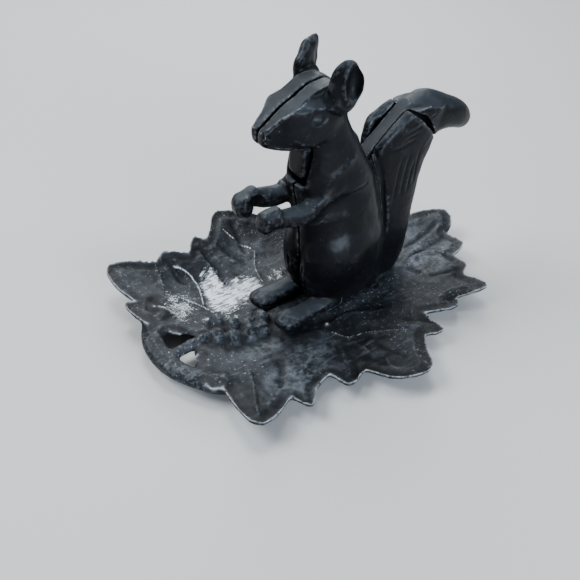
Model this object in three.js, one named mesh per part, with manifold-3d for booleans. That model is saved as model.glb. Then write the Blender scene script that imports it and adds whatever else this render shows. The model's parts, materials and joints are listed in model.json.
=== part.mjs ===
import * as THREE from 'three';
import { mergeVertices } from 'three/addons/utils/BufferGeometryUtils.js';
import Module from 'manifold-3d';

// A lever nutcracker: a cast squirrel in two halves on a cast leaf dish. The tail is the handle of a lever
// that turns on a pin in the neck and carries the lower jaw. Millimetres, +Z up, the squirrel faces -X.

// Leaf dish
const leafLength = 216;
const leafWidth = 174;
const leafMiddle = 17; // behind the squirrel's upright line
const rimHeight = 24;
const leafEdgeThickness = 2.8;
const dishFloorTop = 5.4;
const rimSpacing = 7;
const veinWidth = 3.6;
const veinHeight = 2.4;
const seatLength = 96;
const seatWidth = 38;
const seatMiddle = 20;
const seatTop = 7.4;

// Twig handle, stalk and nuts
const twigWidth = 12.5;
const twigHeight = 9;
const stalkWidth = 6;
const stalkHeight = 5;
const nutRadius = 4.7;

// Squirrel
const squirrelHeight = 150;
const bodyDepth = 60;
const bodyWidth = 41;
const haunchDepth = 56;
const haunchHeight = 62;
const haunchWidth = 41.5;
const headLength = 55;
const headWidth = 28.6;
const headHeight = 30;
const earWidth = 17.4;
const earHeight = 23.5;
const earThickness = 6.8;
const earFlare = 14; // degrees, back edge outwards
const armRadius = 7.6;
const handSize = 12;
const footLength = 42;
const footWidth = 14;
const footHeight = 9.5;
const tailWidth = 21;
const halvesGap = 2.4;
const bodySquareShare = 1.18; // of an ellipse's power: 1 is an ellipse, more is squarer
const tailSquareShare = 1.7;
const footSquareShare = 1.3;
const handSquareShare = 1.5;

// Lever and pin
const pivotBehind = 8; // behind the squirrel's upright line
const pivotHeight = 106;
const hubRadius = 8.5;
const webThickness = 8;
const webClearance = 1.1;
const webOffset = 0.7; // towards the left half
const jawWidth = 12;
const jawInset = 1.5; // of the jaw's face behind the chest's most forward line
const jawRise = 6; // of the jaw's top over the pin
const jawDrop = 12.5; // of the jaw's foot under the pin
const jawChamfer = 3;
const jawClearance = 1.5;
const swingClearance = 0.9;
const throatDrop = 2.5; // of the throat's notch under the jaw's foot
const neckWall = 1; // round the hub's room
const palateGap = 2.65; // between the jaw's top and the roof of the mouth
const jawToothCount = 5;
const jawToothDepth = 1.2;
const leverTravel = 50; // degrees
const crownSeat = 0.6; // gap under the crown's front edge
const crownGap = 2.4; // gap under its rear edge
const pinRadius = 3;
const pinLength = 21;
const runningClearance = 0.08;

// Fasteners
const screwRadius = 2;
const screwHeadRadius = 3.8;
const screwHeadHeight = 2.4;
const driveWidth = 1;
const driveDepth = 1.1;
const washerRadius = 4.6;
const washerThickness = 0.8;
const baseScrewLength = 17;
const crossScrewReach = 9; // into the left half
const bossWall = 1.2;
const holeClearance = 0.3;
const seatGap = 0.3;
const overrun = 5;

const wasm = await Module();
wasm.setup();

const finish = (name, color, roughness, metalness) => new THREE.MeshStandardMaterial({
  name, color, roughness, metalness });
const leafPaint = finish('worn_black', 0x2b2f33, 0.5, 0.4);
const bodyPaint = finish('black', 0x17191c, 0.38, 0.3);
const steel = finish('steel', 0x8f9296, 0.35, 0.9);

// Solids

function solid(points, triangles) {
  let volume = 0;
  for (const [a, b, c] of triangles) {
    volume += points[a].dot(points[b].clone().cross(points[c]));
  }
  const outward = volume > 0 ? triangles : triangles.map(([a, b, c]) => [a, c, b]);
  const vertProperties = new Float32Array(points.flatMap((point) => point.toArray()));
  const triVerts = new Uint32Array(outward.flat());
  return new wasm.Manifold(new wasm.Mesh({ numProp: 3, vertProperties, triVerts }));
}

function fromGeometry(geometry) {
  geometry.deleteAttribute('normal');
  geometry.deleteAttribute('uv');
  const merged = mergeVertices(geometry);
  const vertProperties = new Float32Array(merged.attributes.position.array);
  const triVerts = new Uint32Array(merged.index.array);
  return new wasm.Manifold(new wasm.Mesh({ numProp: 3, vertProperties, triVerts }));
}

function toMesh(name, shape, material) {
  const { vertProperties, triVerts } = shape.getMesh();
  const geometry = new THREE.BufferGeometry();
  geometry.setAttribute('position', new THREE.BufferAttribute(new Float32Array(vertProperties), 3));
  geometry.setIndex(new THREE.BufferAttribute(new Uint32Array(triVerts), 1));
  geometry.computeVertexNormals();
  const mesh = new THREE.Mesh(geometry, material);
  mesh.name = name;
  return mesh;
}

const join = (shapes) => shapes.reduce((sum, shape) => sum.add(shape));
const cut = (shape, tools) => tools.reduce((rest, tool) => rest.subtract(tool), shape);
const at = (x, y, z) => new THREE.Vector3(x, y, z);

// A rounded ring of points round a middle, with two half sizes along two directions
function ring(middle, across, up, halfAcross, halfUp, squareShare, sides) {
  const points = [];
  const power = 2 * squareShare;
  for (let i = 0; i < sides; i += 1) {
    const angle = (2 * Math.PI * i) / sides;
    const c = Math.cos(angle);
    const s = Math.sin(angle);
    const reach = (Math.abs(c) ** power + Math.abs(s) ** power) ** (-1 / power);
    points.push(middle.clone()
      .addScaledVector(across, c * reach * halfAcross)
      .addScaledVector(up, s * reach * halfUp));
  }
  return points;
}

// A closed skin over a row of rings, with a fan over each end
function loft(rings) {
  const sides = rings[0].length;
  const points = rings.flat();
  const triangles = [];
  for (let r = 0; r + 1 < rings.length; r += 1) {
    for (let i = 0; i < sides; i += 1) {
      const a = r * sides + i;
      const b = r * sides + ((i + 1) % sides);
      triangles.push([a, b, b + sides], [a, b + sides, a + sides]);
    }
  }
  for (const [first, turned] of [[0, true], [(rings.length - 1) * sides, false]]) {
    const middle = points.slice(first, first + sides).reduce((sum, point) => sum.add(point), at(0, 0, 0));
    points.push(middle.divideScalar(sides));
    const hub = points.length - 1;
    for (let i = 0; i < sides; i += 1) {
      const a = first + i;
      const b = first + ((i + 1) % sides);
      triangles.push(turned ? [hub, b, a] : [hub, a, b]);
    }
  }
  return solid(points, triangles);
}

// A bar swept along a smooth path: stops are [point, half width, half height]
function sweep(stops, steps, sides, squareShare = 1) {
  const curve = new THREE.CatmullRomCurve3(stops.map(([point]) => point), false, 'centripetal');
  const rings = [];
  for (let k = 0; k <= steps; k += 1) {
    const along = (k / steps) * (stops.length - 1);
    const index = Math.min(Math.floor(along), stops.length - 2);
    const part = along - index;
    const middle = curve.getPoint(k / steps);
    const forward = curve.getTangent(k / steps);
    const across = at(0, 0, 1).cross(forward).normalize();
    const up = forward.clone().cross(across).normalize();
    const halfWidth = THREE.MathUtils.lerp(stops[index][1], stops[index + 1][1], part);
    const halfHeight = THREE.MathUtils.lerp(stops[index][2], stops[index + 1][2], part);
    rings.push(ring(middle, across, up, halfWidth, halfHeight, squareShare, sides));
  }
  return loft(rings);
}

function ball(middle, halfLength, halfWidth, halfHeight, sides, turn = 0) {
  const geometry = new THREE.SphereGeometry(1, sides, sides / 2);
  geometry.rotateX(Math.PI / 2);
  geometry.scale(halfLength, halfWidth, halfHeight);
  geometry.rotateZ(THREE.MathUtils.degToRad(turn));
  geometry.translate(middle.x, middle.y, middle.z);
  return fromGeometry(geometry);
}

// A flat plate with a side-view outline of [x, z] points, from y = low to y = high
function plate(outline, low, high) {
  const shape = new THREE.Shape(outline.map(([x, z]) => new THREE.Vector2(x, z)));
  const geometry = new THREE.ExtrudeGeometry(shape, { depth: high - low, bevelEnabled: false });
  geometry.rotateX(Math.PI / 2);
  geometry.translate(0, high, 0);
  return fromGeometry(geometry);
}

function rodAlongY(x, z, radius, low, high, sides = 24) {
  const geometry = new THREE.CylinderGeometry(radius, radius, high - low, sides);
  geometry.translate(x, (low + high) / 2, z);
  return fromGeometry(geometry);
}

function rodAlongZ(x, y, radius, low, high, sides = 20) {
  const geometry = new THREE.CylinderGeometry(radius, radius, high - low, sides);
  geometry.rotateX(Math.PI / 2);
  geometry.translate(x, y, (low + high) / 2);
  return fromGeometry(geometry);
}

function block(x, y, z) {
  const geometry = new THREE.BoxGeometry(x[1] - x[0], y[1] - y[0], z[1] - z[0]);
  geometry.translate((x[0] + x[1]) / 2, (y[0] + y[1]) / 2, (z[0] + z[1]) / 2);
  return fromGeometry(geometry);
}

// Leaf dish. Each tooth is a row of points from its notch to the next one's: along and across in shares of
// the leaf's half length and half width, then the height of the rim in shares of the rim height. The rim runs
// from the stalk round the squirrel's left side, past the tail, and back round its right side.

const teethShares = [
  [[-0.93, -0.09, 0.5], [-0.97, -0.24, 0.5], [-0.99, -0.36, 0.5]],
  [[-0.93, -0.4, 0.5], [-0.955, -0.55, 0.58], [-0.95, -0.775, 0.68], [-0.86, -0.775, 0.62]],
  [[-0.69, -0.66, 0.42], [-0.66, -0.81, 0.5], [-0.555, -0.69, 0.42]],
  [[-0.44, -0.635, 0.38], [-0.43, -0.805, 0.5]],
  [[-0.28, -0.73, 0.38], [-0.21, -0.915, 0.5], [-0.035, -0.995, 0.58], [0.05, -0.845, 0.5]],
  [[0.145, -0.71, 0.38], [0.225, -0.79, 0.5]],
  [[0.257, -0.55, 0.38], [0.44, -0.66, 0.5]],
  [[0.486, -0.57, 0.42], [0.685, -0.64, 0.58]],
  [[0.67, -0.415, 0.42], [0.73, -0.39, 0.54]],
  [[0.745, -0.23, 0.42], [0.87, -0.2, 0.54]],
  [[0.88, -0.01, 0.42], [0.96, 0.03, 0.58], [1, 0.12, 0.66], [0.995, 0.19, 0.66], [0.88, 0.26, 0.64]],
  [[0.77, 0.3, 0.54], [0.74, 0.52, 0.62]],
  [[0.62, 0.48, 0.5], [0.58, 0.71, 0.62]],
  [[0.42, 0.6, 0.5], [0.32, 0.85, 0.7]],
  [[0.16, 0.71, 0.58], [0.01, 0.8, 0.83], [-0.14, 0.92, 1], [-0.25, 0.975, 1.04], [-0.36, 0.82, 0.96]],
  [[-0.41, 0.77, 0.88], [-0.467, 0.835, 0.96]],
  [[-0.545, 0.715, 0.83], [-0.67, 0.805, 0.92]],
  [[-0.73, 0.77, 0.79], [-0.86, 0.87, 0.83], [-0.985, 0.88, 0.88], [-1.01, 0.7, 0.75]],
  [[-0.965, 0.52, 0.62], [-1.03, 0.55, 0.7], [-1.03, 0.38, 0.66], [-0.95, 0.195, 0.54]],
  [[-0.83, 0.1, 0.38], [-0.815, 0.02, 0.33]],
];
const dishCentreShare = -0.11;
const ringShares = [0.42, 0.6, 0.76, 0.9, 1];
const turnUpShare = 1.7; // power of the rise from the flat floor to the rim

const leafPlace = (along, across) => at(leafMiddle + (along * leafLength) / 2, (across * leafWidth) / 2, 0);
const dishCentre = leafPlace(dishCentreShare, 0);

function rimSamples() {
  const rim = [];
  teethShares.forEach((tooth, index) => {
    const next = teethShares[(index + 1) % teethShares.length][0];
    const stops = [...tooth, next];
    const places = stops.map(([along, across, rise]) => leafPlace(along, across).setZ(rise * rimHeight));
    const curve = new THREE.CatmullRomCurve3(places, false, 'centripetal');
    const count = Math.max(2, Math.round(curve.getLength() / rimSpacing));
    for (let k = 0; k < count; k += 1) {
      rim.push(curve.getPointAt(k / count));
    }
  });
  return rim;
}

const rim = rimSamples();
const rimAngles = rim.map((point) => {
  const angle = Math.atan2(point.y - dishCentre.y, point.x - dishCentre.x);
  return angle < 0 ? angle + 2 * Math.PI : angle;
});

const thicknessAt = (share) => {
  const part = THREE.MathUtils.clamp((share - ringShares[0]) / (1 - ringShares[0]), 0, 1);
  return THREE.MathUtils.lerp(dishFloorTop, leafEdgeThickness, part ** 0.4);
};

function topAt(rimRise, share) {
  const part = THREE.MathUtils.clamp((share - ringShares[0]) / (1 - ringShares[0]), 0, 1);
  return dishFloorTop + (rimRise - dishFloorTop) * part ** turnUpShare;
}

// Height of the dish's upper face at any place inside the rim
function dishTop(x, y) {
  const angle = (Math.atan2(y - dishCentre.y, x - dishCentre.x) + 2 * Math.PI) % (2 * Math.PI);
  let best = 0;
  rimAngles.forEach((value, index) => {
    const turn = (a) => Math.abs(((a - angle + 3 * Math.PI) % (2 * Math.PI)) - Math.PI);
    best = turn(value) < turn(rimAngles[best]) ? index : best;
  });
  const reach = Math.hypot(rim[best].x - dishCentre.x, rim[best].y - dishCentre.y);
  return topAt(rim[best].z, Math.hypot(x - dishCentre.x, y - dishCentre.y) / reach);
}

function dish() {
  const points = [];
  const triangles = [];
  const count = rim.length;
  const layer = (underside) => {
    const first = points.length;
    for (const share of ringShares) {
      for (const edge of rim) {
        const place = dishCentre.clone().lerp(at(edge.x, edge.y, 0), share);
        const top = topAt(edge.z, share);
        points.push(place.setZ(underside ? Math.max(0, top - thicknessAt(share)) : top));
      }
    }
    points.push(dishCentre.clone().setZ(underside ? 0 : dishFloorTop));
    const hub = points.length - 1;
    for (let i = 0; i < count; i += 1) {
      const j = (i + 1) % count;
      const fan = [hub, first + i, first + j];
      triangles.push(underside ? fan.reverse() : fan);
      for (let r = 0; r + 1 < ringShares.length; r += 1) {
        const a = first + r * count + i;
        const b = first + r * count + j;
        const pair = [[a, a + count, b + count], [a, b + count, b]];
        triangles.push(...pair.map((face) => (underside ? face.reverse() : face)));
      }
    }
    return first + (ringShares.length - 1) * count;
  };
  const upper = layer(false);
  const lower = layer(true);
  for (let i = 0; i < count; i += 1) {
    const j = (i + 1) % count;
    triangles.push([upper + i, lower + i, lower + j], [upper + i, lower + j, upper + j]);
  }
  return solid(points, triangles);
}

// Main veins: from the leaf's base to a tip, as along and across shares
const mainVeinsShares = [
  [[-0.76, 0.1], [-0.84, 0.42], [-0.87, 0.72]],
  [[-0.72, 0.14], [-0.55, 0.42], [-0.3, 0.78]],
  [[-0.76, -0.02], [-0.82, -0.3], [-0.86, -0.62]],
  [[-0.42, -0.12], [-0.2, -0.45], [-0.07, -0.8]],
  [[0.46, 0.02], [0.7, 0.06], [0.88, 0.12]],
  [[-0.2, -0.24], [0.2, -0.42], [0.56, -0.54]],
  [[-0.1, 0.26], [0.15, 0.45], [0.28, 0.66]],
];
function vein(placesShares, width, steps) {
  const stops = placesShares.map(([along, across], index) => {
    const place = leafPlace(along, across);
    const taper = 1 - index / (placesShares.length + 1);
    return [place.setZ(dishTop(place.x, place.y)), (width * taper) / 2, (veinHeight * taper) / 2];
  });
  return sweep(stops, steps, 4);
}

// Twig: the arched bar that closes the leaf at its stalk, as along, across and rise shares
const twigShares = [
  [-0.87, 0.4, 0.42], [-0.97, 0.31, 0.4], [-1.03, 0.18, 0.38], [-1.045, 0.03, 0.36],
  [-1.03, -0.09, 0.36], [-0.99, -0.2, 0.36], [-0.94, -0.31, 0.38], [-0.87, -0.38, 0.38],
];
const stalkShares = [[-0.68, 0.06, 0.34], [-0.8, 0.05, 0.36], [-1.01, 0.01, 0.38]];
const nutsShares = [
  [-0.74, 0.02], [-0.68, -0.05], [-0.59, -0.06], [-0.51, -0.065],
  [-0.69, 0.12], [-0.625, 0.055], [-0.55, 0.015], [-0.465, 0.01],
];

function bar(shares, width, height, steps) {
  const stops = shares.map(([along, across, rise]) => [
    leafPlace(along, across).setZ(rise * rimHeight), width / 2, height / 2]);
  return sweep(stops, steps, 8, bodySquareShare);
}

function nut([along, across]) {
  const place = leafPlace(along, across);
  place.setZ(dishTop(place.x, place.y) + nutRadius / 2);
  return ball(place, nutRadius, nutRadius, nutRadius, 8);
}

// Screws from below: one pair into each half, in front and behind
const frontScrewX = seatMiddle - seatLength / 8;
const rearScrewX = seatMiddle + seatLength / 5;
const baseScrewY = seatWidth / 4;
const counterbore = screwHeadHeight + washerThickness + 2 * seatGap;

function seat() {
  const sides = 28;
  const level = (height, inset) => ring(at(seatMiddle, 0, height), at(1, 0, 0), at(0, 1, 0),
    seatLength / 2 - inset, seatWidth / 2 - inset, footSquareShare, sides);
  return loft([level(0, seatGap), level(dishFloorTop, 0), level(seatTop, leafEdgeThickness / 2)]);
}

function leafDish() {
  const raised = [
    seat(),
    ...mainVeinsShares.map((places) => vein(places, veinWidth, 6)),
    bar(twigShares, twigWidth, twigHeight, 14),
    bar(stalkShares, stalkWidth, stalkHeight, 4),
    ...nutsShares.map(nut),
  ];
  const holes = [];
  for (const x of [frontScrewX, rearScrewX]) {
    for (const y of [-baseScrewY, baseScrewY]) {
      holes.push(rodAlongZ(x, y, screwRadius + holeClearance, -overrun, seatTop + overrun));
      holes.push(rodAlongZ(x, y, washerRadius + holeClearance, -overrun, counterbore));
    }
  }
  return cut(join([dish(), ...raised]), holes);
}

// Squirrel forms. The body stands on its seat; side is -1 for the left half and 1 for the right half.

const bodyFoot = seatTop + seatGap;
const bodyX = (share) => share * bodyDepth;
const bodyZ = (share) => bodyFoot + share * squirrelHeight;

// Level cuts of the trunk: height, front, back and half width
const chestFrontShare = -0.3;
const trunkShares = [
  [0, -0.03, 0.66, 0.34], [0.055, -0.07, 0.77, 0.39], [0.135, -0.13, 0.795, 0.41],
  [0.24, -0.175, 0.75, 0.42], [0.36, -0.205, 0.68, 0.42], [0.47, -0.25, 0.6, 0.4],
  [0.555, chestFrontShare, 0.515, 0.395], [0.61, -0.285, 0.42, 0.38], [0.665, -0.26, 0.345, 0.35],
  [0.72, -0.25, 0.25, 0.32], [0.78, -0.22, 0.17, 0.3], [0.82, -0.2, 0.12, 0.26],
];

function levels(shares, width, sides, squareShare, rise = () => 0) {
  return loft(shares.map(([height, front, back, half]) => {
    const middle = at(bodyX((front + back) / 2), 0, bodyZ(height) + rise(height));
    const halfDepth = bodyX((back - front) / 2);
    return ring(middle, at(1, 0, 0), at(0, 1, 0), halfDepth, half * width, squareShare, sides);
  }));
}

// The roof of the mouth lies over the lever's jaw, and the neck reaches up to it from the shoulders
const jawTop = pivotHeight + jawRise;
const mouthTop = jawTop + palateGap;
const neckFromShare = 0.47;
const neckToShare = 0.713;

function neckRise(height) {
  const part = THREE.MathUtils.clamp((height - neckFromShare) / (neckToShare - neckFromShare), 0, 1);
  return part * (mouthTop - bodyZ(neckToShare));
}

const trunk = () => levels(trunkShares, bodyWidth, 28, bodySquareShare, neckRise);

// Tail column below the crown, and the crown's bar: along, height, half width and half height in shares
const tailShares = [
  [0, 0.5, 1.05, 0.38], [0.045, 0.52, 1.1, 0.44], [0.12, 0.54, 1.14, 0.46], [0.25, 0.56, 1.15, 0.48],
  [0.385, 0.54, 1.175, 0.48], [0.475, 0.51, 1.22, 0.48], [0.555, 0.48, 1.305, 0.48],
  [0.6, 0.51, 1.375, 0.49], [0.65, 0.66, 1.395, 0.51], [0.69, 0.79, 1.365, 0.52], [0.713, 0.87, 1.2, 0.48],
];
const crownShares = [
  [0.78, 0.65, 0.36, 0.03], [0.92, 0.655, 0.45, 0.062], [1.12, 0.655, 0.47, 0.087], [1.32, 0.64, 0.47, 0.074],
  [1.5, 0.625, 0.45, 0.062], [1.64, 0.602, 0.4, 0.055], [1.745, 0.565, 0.29, 0.041],
  [1.79, 0.54, 0.12, 0.015],
];

const tailColumn = () => levels(tailShares, tailWidth, 24, tailSquareShare);

function crownBar() {
  const stops = crownShares.map(([along, height, half, halfHeight]) => [
    at(bodyX(along), 0, bodyZ(height)), half * tailWidth, halfHeight * squirrelHeight]);
  return sweep(stops, 14, 18, bodySquareShare);
}

// The cut across the tail between the halves and the crown, as along and height shares
const crownCutShares = [
  [0.66, 0.86], [0.78, 0.755], [0.88, 0.712], [1.025, 0.665], [1.185, 0.605], [1.3, 0.545], [1.5, 0.44],
];

// Everything beyond that cut, moved off it by one distance in front and another behind
function beyondCrownCut(frontOffset, rearOffset) {
  const edge = crownCutShares.map(([along, height], index) => {
    const offset = THREE.MathUtils.lerp(frontOffset, rearOffset, index / (crownCutShares.length - 1));
    return [bodyX(along) + offset / Math.SQRT2, bodyZ(height) + offset / Math.SQRT2];
  });
  const far = [[bodyX(2.2), bodyZ(0.44)], [bodyX(2.2), bodyZ(1)], [bodyX(0.66), bodyZ(1)]];
  return plate([...edge, ...far], -tailWidth, tailWidth);
}

// Head: cuts across the snout and skull: along, top, ridge half width, cheek half width, cheek height,
// jaw half width and underside
const headShares = [
  [-0.745, 0.42, 0.13, 0.16, 0.34, 0.15, 0.2], [-0.7, 0.46, 0.17, 0.205, 0.33, 0.19, 0.13],
  [-0.59, 0.61, 0.23, 0.265, 0.37, 0.24, 0.05], [-0.525, 0.7, 0.315, 0.335, 0.4, 0.295, 0.02],
  [-0.455, 0.76, 0.385, 0.4, 0.43, 0.35, 0.015], [-0.4, 0.8, 0.425, 0.44, 0.45, 0.395, 0],
  [-0.365, 0.84, 0.42, 0.465, 0.46, 0.42, 0], [-0.22, 0.975, 0.33, 0.5, 0.5, 0.45, 0],
  [-0.07, 1.01, 0.29, 0.5, 0.5, 0.44, 0], [0.02, 0.97, 0.27, 0.46, 0.5, 0.4, 0.02],
  [0.12, 0.84, 0.2, 0.35, 0.48, 0.32, 0.08], [0.2, 0.58, 0.1, 0.18, 0.4, 0.16, 0.2],
];
const cheekSwellShare = 0.09;
const jawRoundShare = 0.1;

const headZ = (share) => mouthTop + share * headHeight;

function head() {
  const rings = headShares.map(([along, top, ridge, cheek, cheekHeight, jaw, under]) => {
    const x = along * headLength;
    const side = [
      [ridge, top], [(ridge + cheek) / 2, (top + cheekHeight) / 2 + cheekSwellShare], [cheek, cheekHeight],
      [jaw, under + jawRoundShare], [jaw * (1 - 2 * jawRoundShare), under],
    ];
    const right = side.map(([half, height]) => at(x, half * headWidth, headZ(height)));
    const left = side.map(([half, height]) => at(x, -half * headWidth, headZ(height))).reverse();
    return [at(x, 0, headZ(top)), ...right, at(x, 0, headZ(under)), ...left];
  });
  return loft(rings);
}

function ear(side) {
  const middle = at(-headLength * 0.02, side * headWidth * 0.53, headZ(1.045));
  const turn = side * earFlare;
  const shell = ball(middle, earWidth / 2, earThickness / 2, earHeight / 2, 18, turn);
  const cup = middle.clone().add(at(earWidth * 0.1, side * earThickness * 0.65, earHeight * 0.02));
  const root = sweep([
    [at(0, side * headWidth * 0.3, headZ(0.635)), earWidth * 0.36, earHeight * 0.2],
    [at(0, side * headWidth * 0.5, headZ(0.86)), earWidth * 0.32, earHeight * 0.14],
  ], 2, 12);
  const hollow = ball(cup, earWidth * 0.36, earThickness * 0.5, earHeight * 0.36, 14, turn);
  return shell.add(root).subtract(hollow);
}

// Arm, from inside the shoulder to the wrist: along, out, up and thickness
const armShares = [
  [0.17, 0.13, 0.59, 0.95], [0.05, 0.24, 0.555, 0.92], [-0.08, 0.26, 0.515, 0.86],
  [-0.24, 0.26, 0.474, 0.76], [-0.42, 0.255, 0.474, 0.69], [-0.6, 0.25, 0.49, 0.62],
];
const handPlaceShares = [-0.65, 0.245, 0.494]; // along, out and up
const handWidthShare = 0.85;
const handEndShare = 0.72;
const handShoulderShare = 0.75;
const palmPlaceShares = [0.5, -0.95, -0.5]; // from the hand's middle: along, across and up
const palmSizeShares = [0.98, 1.3, 1.12];

function arm(side) {
  const stops = armShares.map(([along, out, up, thick]) => [
    at(bodyX(along), side * out * bodyWidth, bodyZ(up)), thick * armRadius, thick * armRadius]);
  const [handAlong, handOut, handUp] = handPlaceShares;
  const middle = at(bodyX(handAlong), side * handOut * bodyWidth, bodyZ(handUp));
  const half = handSize / 2;
  const slices = [-1, -handShoulderShare, 0, handShoulderShare, 1].map((along) => {
    const size = half * (Math.abs(along) === 1 ? handEndShare : 1);
    const place = middle.clone().add(at(along * half, 0, (along * half) / 8));
    return ring(place, at(0, 1, 0), at(0, 0, 1), size * handWidthShare, size, handSquareShare, 12);
  });
  const [palmAlong, palmAcross, palmUp] = palmPlaceShares.map((share) => half * share);
  const palm = middle.clone().add(at(palmAlong, side * palmAcross, palmUp));
  const hollow = ball(palm, ...palmSizeShares.map((share) => half * share), 14);
  return sweep(stops, 10, 12).add(loft(slices)).subtract(hollow);
}

// Foot, from the heel under the haunch to the toes: back, width and height
const footShares = [
  [1, 0.7, 0.6], [0.7, 0.9, 1], [0.34, 0.85, 0.8], [0.2, 1, 0.86], [0.07, 1, 0.72], [0, 0.7, 0.4],
];
const toeAlongShare = -0.52;
const footOutShare = 0.29;

function foot(side) {
  const stops = footShares.map(([back, wide, high]) => {
    const halfHeight = (high * footHeight) / 2;
    const x = bodyX(toeAlongShare) + back * footLength;
    const middle = at(x, side * bodyWidth * footOutShare, bodyFoot + halfHeight);
    return [middle, (wide * footWidth) / 2, halfHeight];
  });
  return sweep(stops, 10, 12, footSquareShare);
}

const haunchShare = 0.32; // half thickness of one haunch in the width over both

function haunch(side) {
  const half = haunchWidth * haunchShare;
  const middle = at(bodyX(0.24), side * (haunchWidth / 2 - half), bodyFoot + haunchHeight / 2 + seatGap);
  return ball(middle, haunchDepth / 2, half, haunchHeight / 2, 28);
}

// Room for the lever between the halves

const pivotAngle = (degrees, radius) => {
  const angle = THREE.MathUtils.degToRad(degrees);
  return [pivotBehind + radius * Math.cos(angle), pivotHeight + radius * Math.sin(angle)];
};

function arcAround(radius, from, to, steps) {
  return Array.from({ length: steps + 1 }, (_, k) => pivotAngle(from + ((to - from) * k) / steps, radius));
}

const jawFoot = pivotHeight - jawDrop;
const jawFace = bodyX(chestFrontShare) + jawInset;
const jawReach = pivotBehind - jawFace;
const jawFootRound = jawWidth * 0.4;
const throatRound = throatDrop * 0.8;
const pocketTravel = leverTravel * 1.06; // with a little to spare
const jawHeel = [jawReach * -0.6, -jawDrop]; // where the jaw's foot ends, from the pin
const degreesOf = ([along, up]) => (THREE.MathUtils.radToDeg(Math.atan2(up, along)) + 360) % 360;
const hubUndersideShares = [-0.34, -0.94]; // of the hub's radius, where the jaw's underside meets it
const hubUnderside = degreesOf(hubUndersideShares);
const jawFaceAngle = degreesOf([-jawReach, jawChamfer - jawDrop]);
const jawFootAngle = degreesOf([jawChamfer / 2 - jawReach, -jawDrop]);

// The lever's web, from the hub through the tail to the crown
const hubFoot = pivotAngle(-100, hubRadius);
const hubBack = pivotAngle(15, hubRadius);
const webShares = {
  lower: [[0.27, 0.475], [0.6, 0.42], [0.97, 0.435], [1.235, 0.5]],
  upper: [[1.3, 0.6], [1.1, 0.68], [0.95, 0.735], [0.873, 0.7125], [0.508, 0.594], [0.37, 0.555]],
  above: [[1.6, 0.5], [1.6, 1], [0.5, 1]],
};

function leverSlot() {
  const lower = webShares.lower.map(([along, height]) => [bodyX(along), bodyZ(height) - webClearance]);
  const open = webShares.above.map(([along, height]) => [bodyX(along), bodyZ(height)]);
  const neck = [hubBack[0] + hubRadius, jawTop + palateGap];
  const half = webThickness / 2 + webClearance;
  const foot = [hubFoot[0], hubFoot[1] - webClearance];
  return plate([pivotAngle(180, 0), foot, ...lower, ...open, neck, pivotAngle(90, hubRadius)], -half, half);
}

const roundStepCount = 4;

// A bar along X with a round-footed section: the jaw's front, or the notch in the throat that shows it
function roundFooted(half, foot, round, top, from, to) {
  const outline = new THREE.Shape();
  outline.moveTo(half, top);
  outline.lineTo(-half, top);
  outline.lineTo(-half, foot + round);
  outline.absarc(-half + round, foot + round, round, Math.PI, 1.5 * Math.PI);
  outline.absarc(half - round, foot + round, round, 1.5 * Math.PI, 2 * Math.PI);
  const settings = { depth: to - from, bevelEnabled: false, curveSegments: roundStepCount };
  const geometry = new THREE.ExtrudeGeometry(outline, settings);
  geometry.rotateX(Math.PI / 2);
  geometry.rotateZ(Math.PI / 2);
  geometry.translate(from, 0, 0);
  return fromGeometry(geometry);
}

// The room that the jaw swings through, out to a radius
function swingFan(radius, half) {
  return plate([
    pivotAngle(0, 0), ...arcAround(radius, jawFaceAngle, jawFootAngle + pocketTravel, 10),
    pivotAngle(degreesOf(jawHeel) + pocketTravel, Math.hypot(...jawHeel) + jawClearance),
    pivotAngle(hubUnderside + pocketTravel, hubRadius + jawClearance),
  ], -half, half);
}

const pocketHalf = jawWidth / 2 + jawClearance;

// The hub's room in the neck, or the housing round it
const hubRoom = (wall) => rodAlongY(
  pivotBehind, pivotHeight, hubRadius + swingClearance + wall, -pocketHalf - wall, pocketHalf + wall);

function jawPocket() {
  const corner = Math.hypot(jawReach - jawChamfer / 2, jawDrop);
  const faceRadius = Math.max(corner, Math.hypot(jawReach, jawDrop - jawChamfer)) + swingClearance;
  const sideRadius = Math.hypot(jawReach, jawDrop - jawFootRound) + swingClearance;
  const fans = [swingFan(sideRadius, pocketHalf), swingFan(faceRadius, pocketHalf - jawFootRound / 2)];
  const levelsOfNotch = [jawFoot - throatDrop, throatRound, mouthTop + seatGap];
  const notch = roundFooted(pocketHalf, ...levelsOfNotch, jawFace - jawReach / 2, pivotBehind);
  return join([...fans, notch, hubRoom(0)]);
}

// The cross screws that clamp the halves, with their heads in the right half
const crossScrews = [
  { name: 'body_screw_front', x: bodyX(0.22), z: bodyZ(0.2), head: bodyWidth * 0.42 },
  { name: 'body_screw_rear', x: bodyX(0.92), z: bodyZ(0.26), head: tailWidth * 0.3 },
];

// Bosses on the left half that keep the halves apart at the cross screws
function bosses() {
  const top = halvesGap / 2 - seatGap;
  return crossScrews.map(({ x, z }) => rodAlongY(x, z, screwHeadRadius + bossWall, -halvesGap, top));
}

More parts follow.
